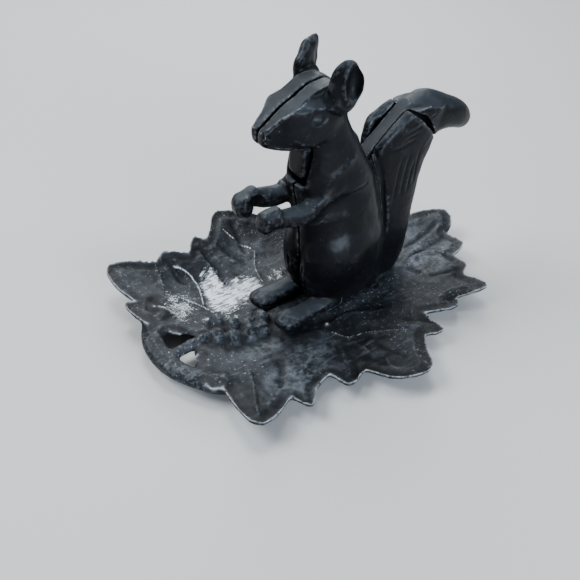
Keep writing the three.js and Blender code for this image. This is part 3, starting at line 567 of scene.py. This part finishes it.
# The cast body. Lines and places are given on the left side and mirrored, unless they say which half.
# A line has its places, width, height (below zero for a groove) and how worn it is, a dome its place, reach,
# height and wear, and a pull its place, reach and move. Boxes have two corners and aren't mirrored.
body = {
    "voxel": 0.0006,  # metres
    "creaseAngle": 0.75,  # radians
    "creaseReach": 0.5,
    "steps": 55,
    "calmer": [  # boxes smoothed another number of times
        ((-60, -30, 113), (20, 30, 170), 24),
        ((-16, -30, 131), (14, -9.5, 170), 9),
        ((-16, 9.5, 131), (14, 30, 170), 9),
        ((-60, -30, 70), (-14, 30, 96), 18),
        ((-60, -30, 70), (-33, 30, 96), 6),
        ((-60, -30, 0), (-12, 30, 22), 20),
        ((28, -30, 82), (80, 30, 130), 9),
    ],
    "noCrease": [((-16, -30, 131), (14, -9.8, 170)), ((-16, 9.8, 131), (14, 30, 170)),
                 ((-60, -30, 60), (-22, -4, 100)), ((-60, 4, 60), (-22, 30, 100)),
                 ((-60, -30, 0), (-5, -4, 22)), ((-60, 4, 0), (-5, 30, 22)),
                 ((-40, -30, 89), (-8, -2.2, 113)), ((-40, 2.2, 89), (-8, 30, 113))],
    "rimWidth": 0.5,
    "bulgeSteps": 30,
    "seamPull": 0.45,  # towards the other half, fading over the depth
    "seamDepth": (1.5, 4.5),
    "tailSeamPull": 0.8,
    "tailSeam": (40, 52),
    "slotBehind": (28, 34),  # where the wall of the tail's slot moves
    "slotAbove": (84, 92),
    "slotWall": (5.6, 9),
    "waves": [(9, 0.22), (3, 0.10)],  # size and height
    "roughPlaces": [((-60, -30, 70), (-33, 30, 96), 4.5, 0.5),  # hands
                    ((-60, -30, 0), (-24, 30, 22), 5, 0.25)],  # feet
    "screwBoss": ((39.2, -9.5, 11), (4.4, 4.0, 11.5)),  # covers a base screw beside the tail's foot
    "ear": {
        "place": (-1.1, -15.16, 146), "reach": (8.7, 3.4, 11.75), "turn": 14, "moreTurn": 12,
        "root": (-2.0, -12.6, 138), "rootReach": (9.2, 5.4, 8),
        "looseAbove": (135, 142), "looseBeyond": (8.5, 11.5),
        "cupMiddle": (3.2, 1.0), "cupShares": (0.52, 0.72), "cupPower": 2.4, "cupDepth": 4.4,
        "cupRange": (-0.6, 8),
        "rollPlace": 1.2, "rollWidth": 0.2, "rollHeight": 0.6, "rollRange": (-1, 8), "rollFoot": -9,
        "leftPulls": [((0, -16, 158), (8, 6, 6), (0, 0, 0.9)), ((7, -18, 155), (6, 6, 6), (-0.6, 0, -0.6))],
        "rightPulls": [((5, 18, 154.5), (6, 7, 6.5), (3.2, 0.4, 3.0)),
                       ((-8, 13, 155), (8, 6, 7), (0.6, 0, -1.6)),
                       ((-9, 13, 144), (6, 6, 12), (-1.4, 0.8, 0)),
                       ((8, 19, 146), (6, 6, 12), (1.3, -1, 0))],
    },
    "lines": [
        ([(-38.5, -5.6, 126.6), (-37.6, -5.7, 127.6), (-33.3, -6.7, 130.9), (-28.6, -8.9, 135.5),
          (-23.4, -11.4, 137.4), (-20.2, -12.6, 137.1), (-14.5, -13.2, 136.5)], 0.8, 0.5, 0.42),
        ([(-14.5, -13.2, 136.5), (-10, -13.5, 136), (-5, -13.6, 134.6)], 1.4, 0.5, 0.0),
        ([(-12.7, -10.2, 143.9), (-18, -12, 141.2), (-20.4, -12.3, 138.8)], 0.7, 0.25, 0.35),
        ([(-21.6, -12.6, 131.2), (-18.5, -13.2, 133.3), (-15, -13.7, 133.9), (-11, -14, 132.9),
          (-8.4, -14, 130.6)], 0.6, 0.5, 0.25),
        ([(-21.6, -12.6, 131.2), (-18.5, -13.2, 128.8), (-15, -13.7, 127.8), (-11, -14, 128.4),
          (-8.4, -14, 130.6)], 0.6, 0.45, 0.25),
        ([(-38.8, -5.5, 126.1), (-37.7, -6, 123.9)], 0.8, -0.9, 0.0),
        ([(-40.6, -3.4, 127.4), (-39.4, -5, 125.2), (-40.4, -4.5, 123.6)], 0.8, 0.4, 0.6),
        ([(-40.9, -4.5, 123.6), (-37.3, -5.6, 120.4), (-31.8, -6.7, 118), (-27.4, -8.7, 117.4),
          (-21.4, -10.1, 115.9), (-16, -11.4, 114.6)], 0.7, 0.35, 0.5),
        ([(-26.6, -9.9, 122.6), (-24.3, -10.7, 120.8), (-19.3, -12.2, 118.1),
          (-13, -13, 117)], 1.1, 0.45, 0.2),
        ([(-16.4, -3.9, 85.7), (-15.8, -12.1, 84.1), (-13.2, -15.4, 83.3)], 1.0, 0.8, 0.35),
        ([(12.6, -13.3, 104.9), (3.1, -15.3, 100.7), (-3.2, -15.1, 96.5), (-7.6, -14, 91.2),
          (-10.4, -13.5, 87.7)], 2.6, 0.7, 0.0),
        ([(21.6, -14.4, 85.7), (9.2, -16.3, 82.3), (-1.2, -15.2, 76.7), (-7.7, -12, 71.8),
          (-11.2, -8, 67.5)], 0.8, -0.8, 0.0),
        ([(-17, -6, 67.8), (-16.6, -6, 57), (-15.7, -6, 46.4), (-10, -6, 29.6),
          (-3, -6, 17.9)], 0.8, -1.2, 0.0),
        ([(29.6, -4.5, 96.2), (31.2, -6.4, 91.8), (35.5, -7.8, 78), (38.1, -8.8, 65.6), (40.6, -9.5, 50),
          (41, -9.5, 36)], 0.8, 0.9, 0.3),
        ([(31.6, -4.5, 97.5), (33.7, -6.4, 92.2), (38, -7.8, 79), (40.6, -8.8, 66), (43.2, -9.5, 50),
          (43.6, -9.5, 36)], 1.4, -2.0, 0.0),
        ([(-29.4, -6.8, 13), (-31.7, -12.7, 11.8), (-30, -17.4, 12.1)], 0.6, -0.45, 0.0),
        ([(-38.5, -9.5, 13.2), (-33, -9.6, 16), (-27, -9.8, 16.6)], 0.7, -0.9, 0.0),
        ([(-38.5, -12.8, 12), (-33, -13, 15), (-27, -13, 16)], 0.7, -0.9, 0.0),
        ([(-18, -11.4, 16.5), (-21.5, -12, 17.5), (-25.9, -12.4, 17)], 0.7, 0.3, 0.3),
        ([(15.5, -14.5, 10.6), (23.6, -13.7, 8.2), (30.5, -16.7, 7.4)], 1.0, 0.9, 0.3),
        ([(15.4, -17.7, 8.1), (23.7, -17.3, 6.4), (31.4, -17.1, 6.4)], 1.0, 0.7, 0.3),
    ],
    "domes": [
        ((-15.2, -14, 130.8), (8.5, 5, 4.6), -0.9, 0.0),
        ((-15.2, -13.2, 130.8), (4.4, 5, 2.9), 1.1, 0.0),
        ((-22, -10, 123), (11, 8, 6.5), 0.8, 0.0),
        ((7, -19, 47), (24, 14, 24), 3.4, 0.0),
        ((2, -15, 78), (24, 9, 9), -1.8, 0.0),
        ((-32, -12, 15), (12, 9.5, 9), 1.7, 0.0),
        ((-34, -12, 17), (7, 7, 6), 0.2, 0.55),
    ],
    "leftBalls": [],
    "leftSlotPull": 0,
    "leftPulls": [((44, -9, 100), (15, 6, 14), (-1.7, -0.5, 1.8)),
                  ((-39, -12, 82), (9, 8, 9), (-0.6, -0.6, 0))],
    "leftDomes": [],
    "leftLines": [
        # Along the near ear's top rim: worn paint, which also stands for a painted highlight on that rim
        ([(-5, -13.5, 157.5), (-1, -15.2, 158.8), (3.5, -17.2, 157), (7, -19, 152.8)], 0.9, 0.2, 0.85),
        ([(-43.3, -11.6, 87.1), (-40, -12.2, 88.2), (-36.2, -12.2, 87.9), (-35.9, -14.9, 85.1),
          (-35.2, -15, 80.7)], 0.6, 0.35, 0.3),
        ([(-42.9, -11.7, 86.3), (-42.8, -13.4, 84.6), (-39.5, -14.8, 83.5)], 0.6, 0.3, 0.7),
        ([(-44.8, -11.5, 83.5), (-42, -14, 80.5), (-38.5, -15.3, 79)], 0.9, -0.5, 0.0),
        ([(-44.5, -11.5, 80.5), (-41, -14, 77.6), (-37.5, -14.8, 76.6)], 0.9, -0.45, 0.0),
        ([(-34.6, -15.1, 82.5), (-33.2, -13.6, 79.5), (-33.5, -12.9, 76.4)], 0.6, 0.35, 0.5),
        ([(46.8, -10, 103.2), (52.3, -10.6, 102.9), (56.4, -10.6, 103.6),
          (60.6, -10.7, 104.6)], 0.7, -0.7, 0.1),
        ([(49.2, -9.6, 107.8), (53, -10.4, 107.3), (57.6, -10.6, 107.5)], 0.6, -0.5, 0.0),
        ([(36.5, -7.9, 99.9), (40, -9, 98.9), (43.4, -9.9, 98.7)], 0.7, -0.6, 0.0),
        ([(37.4, -8.9, 96.9), (43, -9.9, 95.4), (50, -10.2, 95.8), (58.1, -10.3, 97.4)], 0.9, -0.7, 0.0),
        ([(50, -10, 100.5), (55, -10.4, 100.2), (60, -10.5, 101)], 0.7, -0.5, 0.0),
        ([(62.9, -10, 90), (62.1, -10, 79.2), (61.6, -10, 68.7)], 0.9, -0.5, 0.0),
        ([(60, -10, 84.8), (58.3, -10, 74.9), (57.4, -10, 64)], 0.9, -0.5, 0.0),
        ([(55.5, -10.4, 90), (53.8, -10.4, 78), (52.6, -10.4, 64)], 1.0, -0.5, 0.0),
        ([(50, -10.4, 90), (48.2, -10.4, 76), (47.4, -10.4, 60)], 1.0, -0.4, 0.0),
    ],
    "rightBalls": [((-41, 6.5, 81.5), (4.4, 3.2, 6.4))],  # the hand
    "rightSlotPull": 1.0,
    "rightPulls": [((13.2, 20, 37.7), (9, 9, 9), (0, -3.0, 0)),  # the seat of a screw's head
                   ((44, 8, 103), (14, 10, 13), (-3, 1.6, 3.4)), ((51, 7, 111), (9, 7, 8), (0, 0, 2.4)),
                   ((-30, 10, 84), (17, 10, 12), (0, 0, 2.2)), ((36, 3.5, 99), (12, 4, 12), (2.4, 0, -2.2)),
                   ((46, 3.5, 109), (12, 4, 11), (2.4, 0, -2.4)),
                   ((-46, 8, 83), (9, 9, 10), (-1.2, 0.6, -0.8))],
    "rightDomes": [((-44, 8, 82), (9, 9, 10), 1.0), ((-39, 5, 84), (5.5, 5.5, 4.2), -1.8)],
    "rightLines": [
        ([(34.5, 8, 91), (38.2, 8, 98.5), (41.2, 8, 107)], 0.8, -0.7, 0.0),
        ([(37.6, 7.4, 94.7), (41.4, 7.4, 101), (45.8, 7, 107.7)], 0.8, -0.7, 0.0),
        ([(38.8, 6, 100.7), (41.6, 6, 105.8), (45.2, 6, 109.7), (49.3, 6, 112.6)], 0.7, -0.6, 0.0),
        ([(46, 9.5, 104), (52, 9.8, 104.6), (59, 9.8, 106)], 0.8, -0.6, 0.0),
        ([(44, 9.5, 98), (51, 9.8, 98), (59, 9.8, 99.5)], 0.8, -0.6, 0.0),
        ([(60, 9.8, 88), (58.3, 9.8, 75), (57.4, 9.8, 62)], 1.0, -0.5, 0.0),
        ([(53.5, 9.8, 89), (51.6, 9.8, 76), (50.4, 9.8, 62)], 1.0, -0.5, 0.0),
        ([(-42.7, 5.1, 79.3), (-43.2, 5.2, 84.4), (-41, 5.3, 88.1), (-36.5, 5.5, 89.4),
          (-28, 7, 89.6)], 0.7, 0.35, 0.6),
    ],
}


def shapeEar(surface, side, half):
    # A cup open to the side with a broad rolled front edge, drawn out to a corner at the back
    ear = body["ear"]
    centre = mirrored(ear["place"], side)[0]
    offset = surface.points - centre
    loose = (ramp(surface.points[:, 2], *ear["looseAbove"])
             * ramp(np.abs(surface.points[:, 1]), *ear["looseBeyond"]))
    twist = np.radians(ear["moreTurn"] * side) * loose
    sine, cosine = np.sin(twist), np.cos(twist)
    turned = np.stack([offset[:, 0] * cosine - offset[:, 1] * sine,
                       offset[:, 0] * sine + offset[:, 1] * cosine, offset[:, 2]], axis=1)
    surface.points = centre + turned

    turn = math.radians((ear["turn"] + ear["moreTurn"]) * side)
    outward = np.array([-math.sin(turn), math.cos(turn), 0.0]) * side
    along = turned[:, 0] * math.cos(turn) + turned[:, 1] * math.sin(turn)
    out, height = turned @ outward, turned[:, 2]
    reach, middle, shares = ear["reach"], ear["cupMiddle"], ear["cupShares"]
    inside = np.sqrt(((along - middle[0]) / (reach[0] * shares[0])) ** 2
                     + ((height - middle[1]) / (reach[2] * shares[1])) ** 2)
    low, high = ear["cupRange"]
    cup = np.clip(1 - inside ** ear["cupPower"], 0, 1) * ((out > low) & (out < high))
    surface.points -= outward * (cup * ear["cupDepth"])[:, None]
    low, high = ear["rollRange"]
    onRoll = (out > low) & (out < high) & (height > ear["rollFoot"])
    roll = np.exp(-((inside - ear["rollPlace"]) / ear["rollWidth"]) ** 2) * onRoll
    surface.points += outward * (roll * ear["rollHeight"])[:, None]
    for place, reach, move in ear[half + "Pulls"]:
        surface.grab(place, reach, move)


def makeHalf(half, node, name):
    side = -1 if half == "left" else 1
    bm = mergedCopy(node)
    creases = creasePoints(bm, body["creaseAngle"], body["noCrease"])
    ear = body["ear"]
    addBall(bm, mirrored(ear["place"], side), ear["reach"], side * ear["turn"])
    addBall(bm, mirrored(ear["root"], side), ear["rootReach"], side * ear["turn"])
    for place, reach in body[half + "Balls"]:
        addBall(bm, place, reach)
    bossPlace, bossReach = body["screwBoss"]
    addBall(bm, mirrored(bossPlace, side), bossReach)
    piece = cast(name, bm, body["voxel"])
    creaseDistance = distanceTo(piece, creases)
    soften(piece, smoothingSteps(piece, body["steps"], body["calmer"]), creaseDistance < body["creaseReach"])

    surface = Surface(piece)
    shapeEar(surface, side, half)
    seamPull = body["seamPull"] + body["tailSeamPull"] * ramp(surface.points[:, 0], *body["tailSeam"])
    surface.points[:, 1] -= side * seamPull * (1 - ramp(np.abs(surface.points[:, 1]), *body["seamDepth"]))
    surface.keep()
    for place, reach, height, wear in body["domes"]:
        surface.dome(place, reach, height, side, wear)
    for places, width, height, wear in body["lines"]:
        surface.stroke(places, width, height, wear, side)
    slot = ramp(surface.points[:, 0], *body["slotBehind"]) * ramp(surface.points[:, 2], *body["slotAbove"])
    slotPull = body[half + "SlotPull"] * slot * (1 - ramp(surface.points[:, 1], *body["slotWall"]))
    surface.points[:, 1] -= slotPull
    for place, reach, move in body[half + "Pulls"]:
        surface.grab(place, reach, move)
    surface.keep()
    for place, reach, height in body[half + "Domes"]:
        surface.dome(place, reach, height)
    for places, width, height, wear in body[half + "Lines"]:
        surface.stroke(places, width, height, wear)
    for size, height in body["waves"]:
        surface.unevenness(size, height)
    for low, high, size, height in body["roughPlaces"]:
        surface.unevenness(size, height, where=inBox(surface.points, low, high))
    surface.keep()
    markSurface(piece, surface.wear, np.exp(-(creaseDistance / body["rimWidth"]) ** 2), body["bulgeSteps"])
    settle(piece, "stand", node, "black")


makeHalf("left", "body_half_left", "squirrelLeft")
makeHalf("right", "body_half_right", "squirrelRight")
print("body halves made")

# The tail's crown with the web, hub and lower jaw that it turns
crown = {
    "voxel": 0.00055,
    "creaseAngle": 0.75,
    "creaseReach": 0.5,
    "rimWidth": 0.5,
    "bulgeSteps": 30,
    "front": 56,  # the casting waves start behind it
    "waves": [(7, 0.16), (2.5, 0.06)],
    "steps": 45,
    "calmer": [((-60, -30, 60), (-6, 30, 120), 14), ((-6, -30, 90), (32, 30, 118), 20)],
    "noCrease": [((-60, -30, 60), (-10, 30, 120))],
    "pulls": [((62, -9, 107), (20, 8, 9), (1.0, 0, 1.9)), ((78, 0, 117), (22, 14, 12), (0, 0, 1.8))],
    "lines": [
        ([(63.8, -10.3, 108.3), (66.5, -10.8, 109.4), (70, -10.8, 110.2)], 0.5, 0.15, 0.45),
        ([(66.5, -10.6, 106.2), (69.5, -10.7, 107.2), (72.8, -10.6, 108.2)], 0.5, 0.15, 0.45),
        ([(63.8, 10.3, 108.3), (66.5, 10.8, 109.4), (70, 10.8, 110.2)], 0.5, 0.25, 0.4),
    ],
}
bm = mergedCopy("tail_lever")
creases = creasePoints(bm, crown["creaseAngle"], crown["noCrease"])
lever = cast("tailLever", bm, crown["voxel"])
creaseDistance = distanceTo(lever, creases)
soften(lever, smoothingSteps(lever, crown["steps"], crown["calmer"]), creaseDistance < crown["creaseReach"])
surface = Surface(lever)
for place, reach, move in crown["pulls"]:
    surface.grab(place, reach, move)
surface.keep()
for places, width, height, wear in crown["lines"]:
    surface.stroke(places, width, height, wear)
onTail = surface.points[:, 0] > crown["front"]
for size, height in crown["waves"]:
    surface.unevenness(size, height, where=onTail)
surface.keep()
markSurface(lever, surface.wear, np.exp(-(creaseDistance / crown["rimWidth"]) ** 2), crown["bulgeSteps"])
settle(lever, "lever", "tail_lever", "black")
print("lever made")

# The leaf dish. Lines lie on its upper side, with the same four values as the body's, and folds have no wear.
dish = {
    "voxel": 0.00088,
    "steps": 90,
    "rimSteps": 18,
    "creaseAngle": 1.25,
    "underAngle": 0.6,
    "creaseReach": 1.0,
    "rimWidth": 0.8,
    "bulgeSteps": 20,
    "upperSlope": (0.1, 0.5),
    "waves": [(11, 0.8), (3.5, 0.25)],
    "tipReach": 4,  # of the boxes round the veins' tips, where the rim is smoothed like the rest
    "tipHeight": 40,
    "veinTips": [(-77, 62.6), (-15.4, 67.9), (-75.9, -53.9), (9.4, -69.6), (112, 10.4), (77.5, -47),
                 (47.2, 57.4)],
    "calmer": [((-72, -16, 4), (-28, 16, 30), 4), ((-120, -34, 0), (-78, 40, 30), 16),
               ((-32, -22, 0), (72, 22, 30), 30)],
    "noCrease": [((-72, -16, 4), (-28, 16, 30)), ((-120, -28, 4), (-84, 26, 30)),
                 ((-80, -12, 4), (-60, 12, 30)), ((-34, -21, 0), (72, 21, 30)),
                 ((-81, -37, 0), (-69, -22, 30))],
    "stalks": [((-85, 4, 9.6), (5, 2.2, 2.4)), ((-79, 3.9, 10), (5, 2.3, 2.6)),
               ((-73, 3.6, 10), (5, 2.4, 2.6)), ((-77.3, -4, 9), (4.4, 2.9, 2.5)),
               ((-75.5, 0.4, 8), (3, 2.6, 2))],
    "nutReach": 4.8,
    "nuts": [(-64.4, -1.6, 7.4), (-57.3, -6.4, 6.8), (-48, -7, 6.6), (-39, -6.4, 7.6),
             (-58, 8.6, 7.2), (-51.4, 3.2, 6.8), (-43.6, 1.6, 7.6), (-34, 1, 8.2)],
    "lines": [
        ([(-62.8, 66.4, 17), (-63.8, 62.5, 13.3), (-64.9, 57.4, 11.4), (-67.3, 50, 10.6)], 0.9, 0.7, 0.5),
        ([(-53.8, 61.7, 16.2), (-48.5, 53.8, 12.2), (-47.9, 46.6, 7.6), (-49.9, 38.6, 7),
          (-53.8, 29.2, 7.3)], 1.0, 1.0, 0.9),
        ([(-63.6, 42.8, 9.3), (-60.3, 35.2, 8.5), (-55.1, 27.2, 7), (-52, 18, 7)], 1.0, 0.9, 0.8),
        ([(-1.3, 52.7, 9), (-9.1, 41.9, 7.4), (-11.7, 34.3, 6.4), (-12.9, 27.9, 5.4)], 0.8, 0.6, 0.6),
        ([(-9.1, -24.2, 5.4), (-6.7, -30.6, 5.5), (-2.6, -37.6, 5.8), (5.9, -39.5, 5.6), (10.1, -41, 5.8),
          (28, -52.8, 7.7)], 0.8, 0.6, 0.6),
        ([(-9, -33.3, 6.5), (-17.7, -42.4, 6.6), (-19.7, -46.1, 7.2)], 0.8, 0.5, 0.3),
        ([(-2.6, -37.6, 5.8), (-2.2, -48.5, 6.5), (-0.4, -58.7, 7.8)], 0.8, 0.5, 0.3),
        ([(-4.1, -22.1, 6), (9.6, -22, 5.4), (19.7, -26.5, 5.4), (34, -33, 6)], 0.9, 0.6, 0.35),
        ([(2.4, -62.8, 8.3), (-1.3, -68.9, 9.6), (-1.2, -74.6, 10.7)], 0.9, 0.6, 0.4),
        ([(69.5, -9.7, 6.5), (78, -4.9, 7), (86.1, -5.9, 7.8), (93.1, -12.2, 9.4), (96.6, -20.5, 10.1),
          (93.5, -28.2, 11.5)], 1.4, 1.2, 0.35),
        ([(72.2, -25.2, 8.2), (82.2, -29.2, 10), (90.1, -31.5, 11.6)], 1.2, -1.0, 0.0),
        ([(-55.9, -55.4, 9.8), (-42.5, -46, 7.5), (-30.5, -38.7, 6.2), (-16.6, -33.4, 5.9)], 0.9, 0.6, 0.2),
        ([(-82, -62.9, 14.9), (-76, -52.1, 12.4), (-67.6, -37.8, 9.6), (-61.2, -23.4, 7.6)], 1.2, 0.8, 0.2),
        ([(-25.7, -67.5, 11.1), (-19.9, -56.1, 8.5), (-12.8, -44.3, 6.6), (-9.4, -35.2, 5.8)], 1.1, 0.7, 0.3),
        ([(37.6, -66.4, 10.6), (33.5, -56.6, 8.9), (28.3, -47.6, 7.2), (21.9, -42.1, 6.3)], 1.1, 0.7, 0.3),
        ([(91.6, -0.3, 8.1), (77.1, -1.8, 6.7), (60.2, -8.5, 7.4)], 1.1, 0.8, 0.2),
        ([(-91.6, 26.3, 14.4), (-94.7, 16.3, 13.5), (-96.1, 7.6, 13.2), (-95.5, -3.8, 13),
          (-92.8, -11.2, 13.1), (-91.2, -17.4, 12.9)], 0.7, 0.5, 0.38),
    ],
    "folds": [
        ([(-3.5, 75.4, 19.6), (-4.7, 66.9, 14.6), (-5.3, 62.7, 12.7), (-8, 52, 9)], 2.2, -1.8),
        ([(-21.9, 63.1, 18), (-18.8, 56.2, 14), (-15.6, 51, 11.4), (-13, 44, 8)], 2.2, -1.8),
        ([(-55.8, 66.7, 19.5), (-54.7, 60.3, 15.3), (-54.4, 57.6, 12.3), (-53, 48, 9)], 2.2, -1.8),
        ([(-34.6, 65.3, 19.5), (-32.5, 58.7, 15.9), (-31.1, 49.3, 12.1), (-31, 42, 8)], 2.4, -2.0),
        ([(69.5, -9.7, 6.5), (70.1, -14.4, 6.9), (71.2, -19.9, 7.6)], 3.4, -1.4),
        ([(79.7, 5.2, 7.2), (97.4, 6, 10.4), (113.8, 9.1, 13.1)], 1.8, -1.3),
        ([(74.5, -1.7, 6.5), (88.5, -3.6, 7.8), (108.9, -3.2, 10.1)], 1.8, -1.3),
        ([(60, -46, 8), (70.1, -49.5, 10.2), (79.9, -52.7, 11.6)], 1.8, -1.2),
        ([(-20, -70, 10), (-15, -60, 9), (-11, -50, 7.5)], 2.2, -1.2),
        ([(10, -70, 10), (9, -60, 9), (8, -50, 7)], 2.2, -1.2),
        ([(45, -60, 10), (38, -50, 8), (30, -40, 7)], 2.2, -1.2),
        ([(-58, -50, 9), (-50, -40, 8), (-42, -30, 7)], 2.4, -1.2),
    ],
    "bare": [(-45.9, 43.1), (-39, 48.8), (-34.4, 49.3), (-34.8, 39), (-25.7, 38.1), (-15.1, 32.7),
             (-14.8, 25.4), (-24.9, 22), (-37.7, 19.1), (-46.5, 18.5), (-52.1, 25.6)],
    "rubbed": [[(-66.7, 47.6), (-57.3, 42.9), (-54.5, 34.4), (-57.5, 26.6), (-70.7, 18.3), (-75.6, 26.2),
                (-74.3, 38.1)],
               [(-9.1, 30.1), (0, 34.8), (6.5, 34.1), (1.5, 23), (-6.6, 21.4)],
               [(-60, 20), (-48, 18), (-38, 12), (-50, 8), (-64, 14)]],
    "patchSoftness": 5,
    "dashes": [  # worn lines with no height
        [(-12.2, 71, 14), (-8.5, 64.7, 13)], [(-6.3, 61.3, 12), (-2.7, 55, 10)]],
    "dashWidth": 0.9,
    # where the lobes grey with dust and a painted sheen of the light, each with place, reach and strength
    "dustAndSheen": [((84, -12), (32, 24), 0.75), ((-46, -50), (30, 26), 0.65), ((-10, 50), (26, 22), 0.25),
             ((-30, -36), (24, 14), 0.5), ((84, 18), (26, 16), 0.5), ((-48, -18), (26, 10), 0.5)],
    "dustAndSheenFade": (0.2, 1.0),
    "lipReach": 7.0,
    "lipHeight": 0.9,
    "lipShadeBand": 1.2,
}


def insidePatch(places, outline, softness):
    # 1 inside an outline seen from above, falling to 0 over the softness outside it
    outline = np.asarray(outline, float)
    ends = np.roll(outline, -1, axis=0)
    inside = np.zeros(len(places), bool)
    nearest = np.full(len(places), np.inf)
    for start, end in zip(outline, ends):
        crosses = (start[1] > places[:, 1]) != (end[1] > places[:, 1])
        slope = (end[0] - start[0]) / (end[1] - start[1] + tiny)
        inside ^= crosses & (places[:, 0] < start[0] + slope * (places[:, 1] - start[1]))
        step = end - start
        part = np.clip((places - start) @ step / (step @ step), 0, 1)
        nearest = np.minimum(nearest, np.linalg.norm(places - start - part[:, None] * step, axis=1))
    signed = np.where(inside, nearest, -nearest)
    return ramp(signed, -softness, softness)


bm = mergedCopy("leaf_dish")
tipReach, tipHeight = dish["tipReach"], dish["tipHeight"]
veinTips = [((x - tipReach, y - tipReach, 0), (x + tipReach, y + tipReach, tipHeight))
            for x, y in dish["veinTips"]]
upperRim = rimPoints(bm, 1, dish["creaseAngle"], dish["noCrease"] + veinTips)
lowerRim = rimPoints(bm, -1, dish["underAngle"], dish["noCrease"])
for nut in dish["nuts"]:
    addBall(bm, nut, [dish["nutReach"]] * 3, sides=24)
for place, reach in dish["stalks"]:
    addBall(bm, place, reach, sides=24)
leaf = cast("leafDish", bm, dish["voxel"])
rimDistance = distanceTo(leaf, upperRim)
crease = np.minimum(rimDistance, distanceTo(leaf, lowerRim)) < dish["creaseReach"]
steps = smoothingSteps(leaf, dish["steps"], dish["calmer"])
soften(leaf, np.where(crease, np.minimum(steps, dish["rimSteps"]), steps), crease, finish=2)

surface = Surface(leaf, flatAxis=2)
upper = ramp(surface.normals[:, 2], *dish["upperSlope"])
surface.normals = surface.normals * upper[:, None]  # so that lines and folds leave the underside alone
for places, width, height in dish["folds"]:
    surface.stroke(places, width, height)
for places, width, height, wear in dish["lines"]:
    surface.stroke(places, width, height, wear)
for places in dish["dashes"]:
    surface.stroke(places, dish["dashWidth"], 0.0, 1.0, taper=False)
for size, height in dish["waves"]:
    surface.unevenness(size, height, where=upper > 0.5)
# A shallow groove just inside the rim, which the paint also darkens as painted shade
lip = np.clip(1 - rimDistance / dish["lipReach"], 0, 1)
surface.points[:, 2] -= upper * np.sin(np.pi * lip) * dish["lipHeight"]
surface.keep()
markSurface(leaf, surface.wear, np.exp(-(rimDistance / dish["rimWidth"]) ** 2), dish["bulgeSteps"])
flat = surface.points[:, :2]
bare = insidePatch(flat, dish["bare"], dish["patchSoftness"])
rubbed = np.max([insidePatch(flat, outline, dish["patchSoftness"]) for outline in dish["rubbed"]], axis=0)
# Where the band inside the rim gets its painted shade
addAttribute(leaf.data, "lip", upper * np.sin(np.pi * np.clip(lip * dish["lipShadeBand"], 0, 1)))
addAttribute(leaf.data, "bare", bare * upper)
addAttribute(leaf.data, "rubbed", rubbed * upper)
# How strongly each place greys with dust and painted sheen
dustAndSheen = np.zeros(len(flat))
for place, reach, strength in dish["dustAndSheen"]:
    away = np.linalg.norm((flat - place) / np.array(reach), axis=1)
    dustAndSheen = np.maximum(dustAndSheen, strength * (1 - ramp(away, *dish["dustAndSheenFade"])))
addAttribute(leaf.data, "dustAndSheen", dustAndSheen * upper)
settle(leaf, "stand", "leaf_dish", "worn_black")
print("leaf made")

for nodeName, node in frame["nodes"].items():
    if "screw" in nodeName or "washer" in nodeName or nodeName == "pivot_pin":
        node.data.materials.clear()
        node.data.materials.append(paints["steel"])


def floorFinish():
    sheet = FinishSheet("floorFinish", Specular_IOR_Level=0.3)
    tone = sheet.noise(3, 2, 0.5)
    colour = sheet.blend(tone, (0.40, 0.39, 0.375, 1), (0.43, 0.42, 0.405, 1))
    return sheet.give(Base_Color=colour, Roughness=0.6 + tone * 0.05)


studio = {
    "floorSize": 3.0,
    "world": (0.80, 0.83, 0.86, 1),
    "worldStrength": 0.12,
    "lampTarget": (0, 0, 0.06),
    "lamps": [
        ("windowLight", (-0.65, 0.5, 0.95), (0.8, 0.6), 24, (0.86, 0.93, 1.0)),
        ("backLight", (0.6, 0.85, 0.65), (0.9, 0.6), 12, (0.88, 0.94, 1.0)),
        ("topLight", (0.15, 0.4, 1.1), (0.5, 0.5), 11, (0.95, 0.97, 1.0)),
        ("sideLight", (-0.05, -1.0, 0.32), (0.8, 0.5), 22, (0.72, 0.84, 1.0)),
        ("rightLight", (0.75, -0.55, 0.42), (0.5, 0.4), 4, (0.80, 0.89, 1.0)),
    ],
}

floorMesh = bpy.data.meshes.new("floor")
bm = bmesh.new()
bmesh.ops.create_grid(bm, x_segments=2, y_segments=2, size=studio["floorSize"] / 2)
bm.to_mesh(floorMesh)
bm.free()
floor = bpy.data.objects.new("floor", floorMesh)
bpy.context.scene.collection.objects.link(floor)
floor.data.materials.append(floorFinish())

world = bpy.data.worlds.new("studioAir")
bpy.context.scene.world = world
world.use_nodes = True
background = next(node for node in world.node_tree.nodes if node.type == "BACKGROUND")
background.inputs["Color"].default_value = studio["world"]
background.inputs["Strength"].default_value = studio["worldStrength"]

for lampName, place, size, power, colour in studio["lamps"]:
    data = bpy.data.lights.new(lampName, "AREA")
    data.shape = "ELLIPSE"
    data.size, data.size_y = size
    data.energy = power
    data.color = colour
    lamp = bpy.data.objects.new(lampName, data)
    lamp.location = place
    aim = Vector(studio["lampTarget"]) - Vector(place)
    lamp.rotation_euler = aim.to_track_quat("-Z", "Y").to_euler()
    bpy.context.scene.collection.objects.link(lamp)

cameraView = {
    "place": (-0.25702, -0.277, 0.31224),
    "right": (0.79262113, -0.60792285, 0.04670714),
    "up": (0.35448896, 0.5218041, 0.775924),
    "lens": 51.517,
    "sensor": 36.0,
}
cameraData = bpy.data.cameras.new("camera")
cameraData.lens = cameraView["lens"]
cameraData.sensor_width = cameraView["sensor"]
camera = bpy.data.objects.new("camera", cameraData)
right, up = Vector(cameraView["right"]), Vector(cameraView["up"])
turn = Matrix((right, up, right.cross(up))).transposed().to_4x4()
camera.matrix_world = Matrix.Translation(cameraView["place"]) @ turn
bpy.context.scene.collection.objects.link(camera)
bpy.context.scene.camera = camera

print("scene ready")
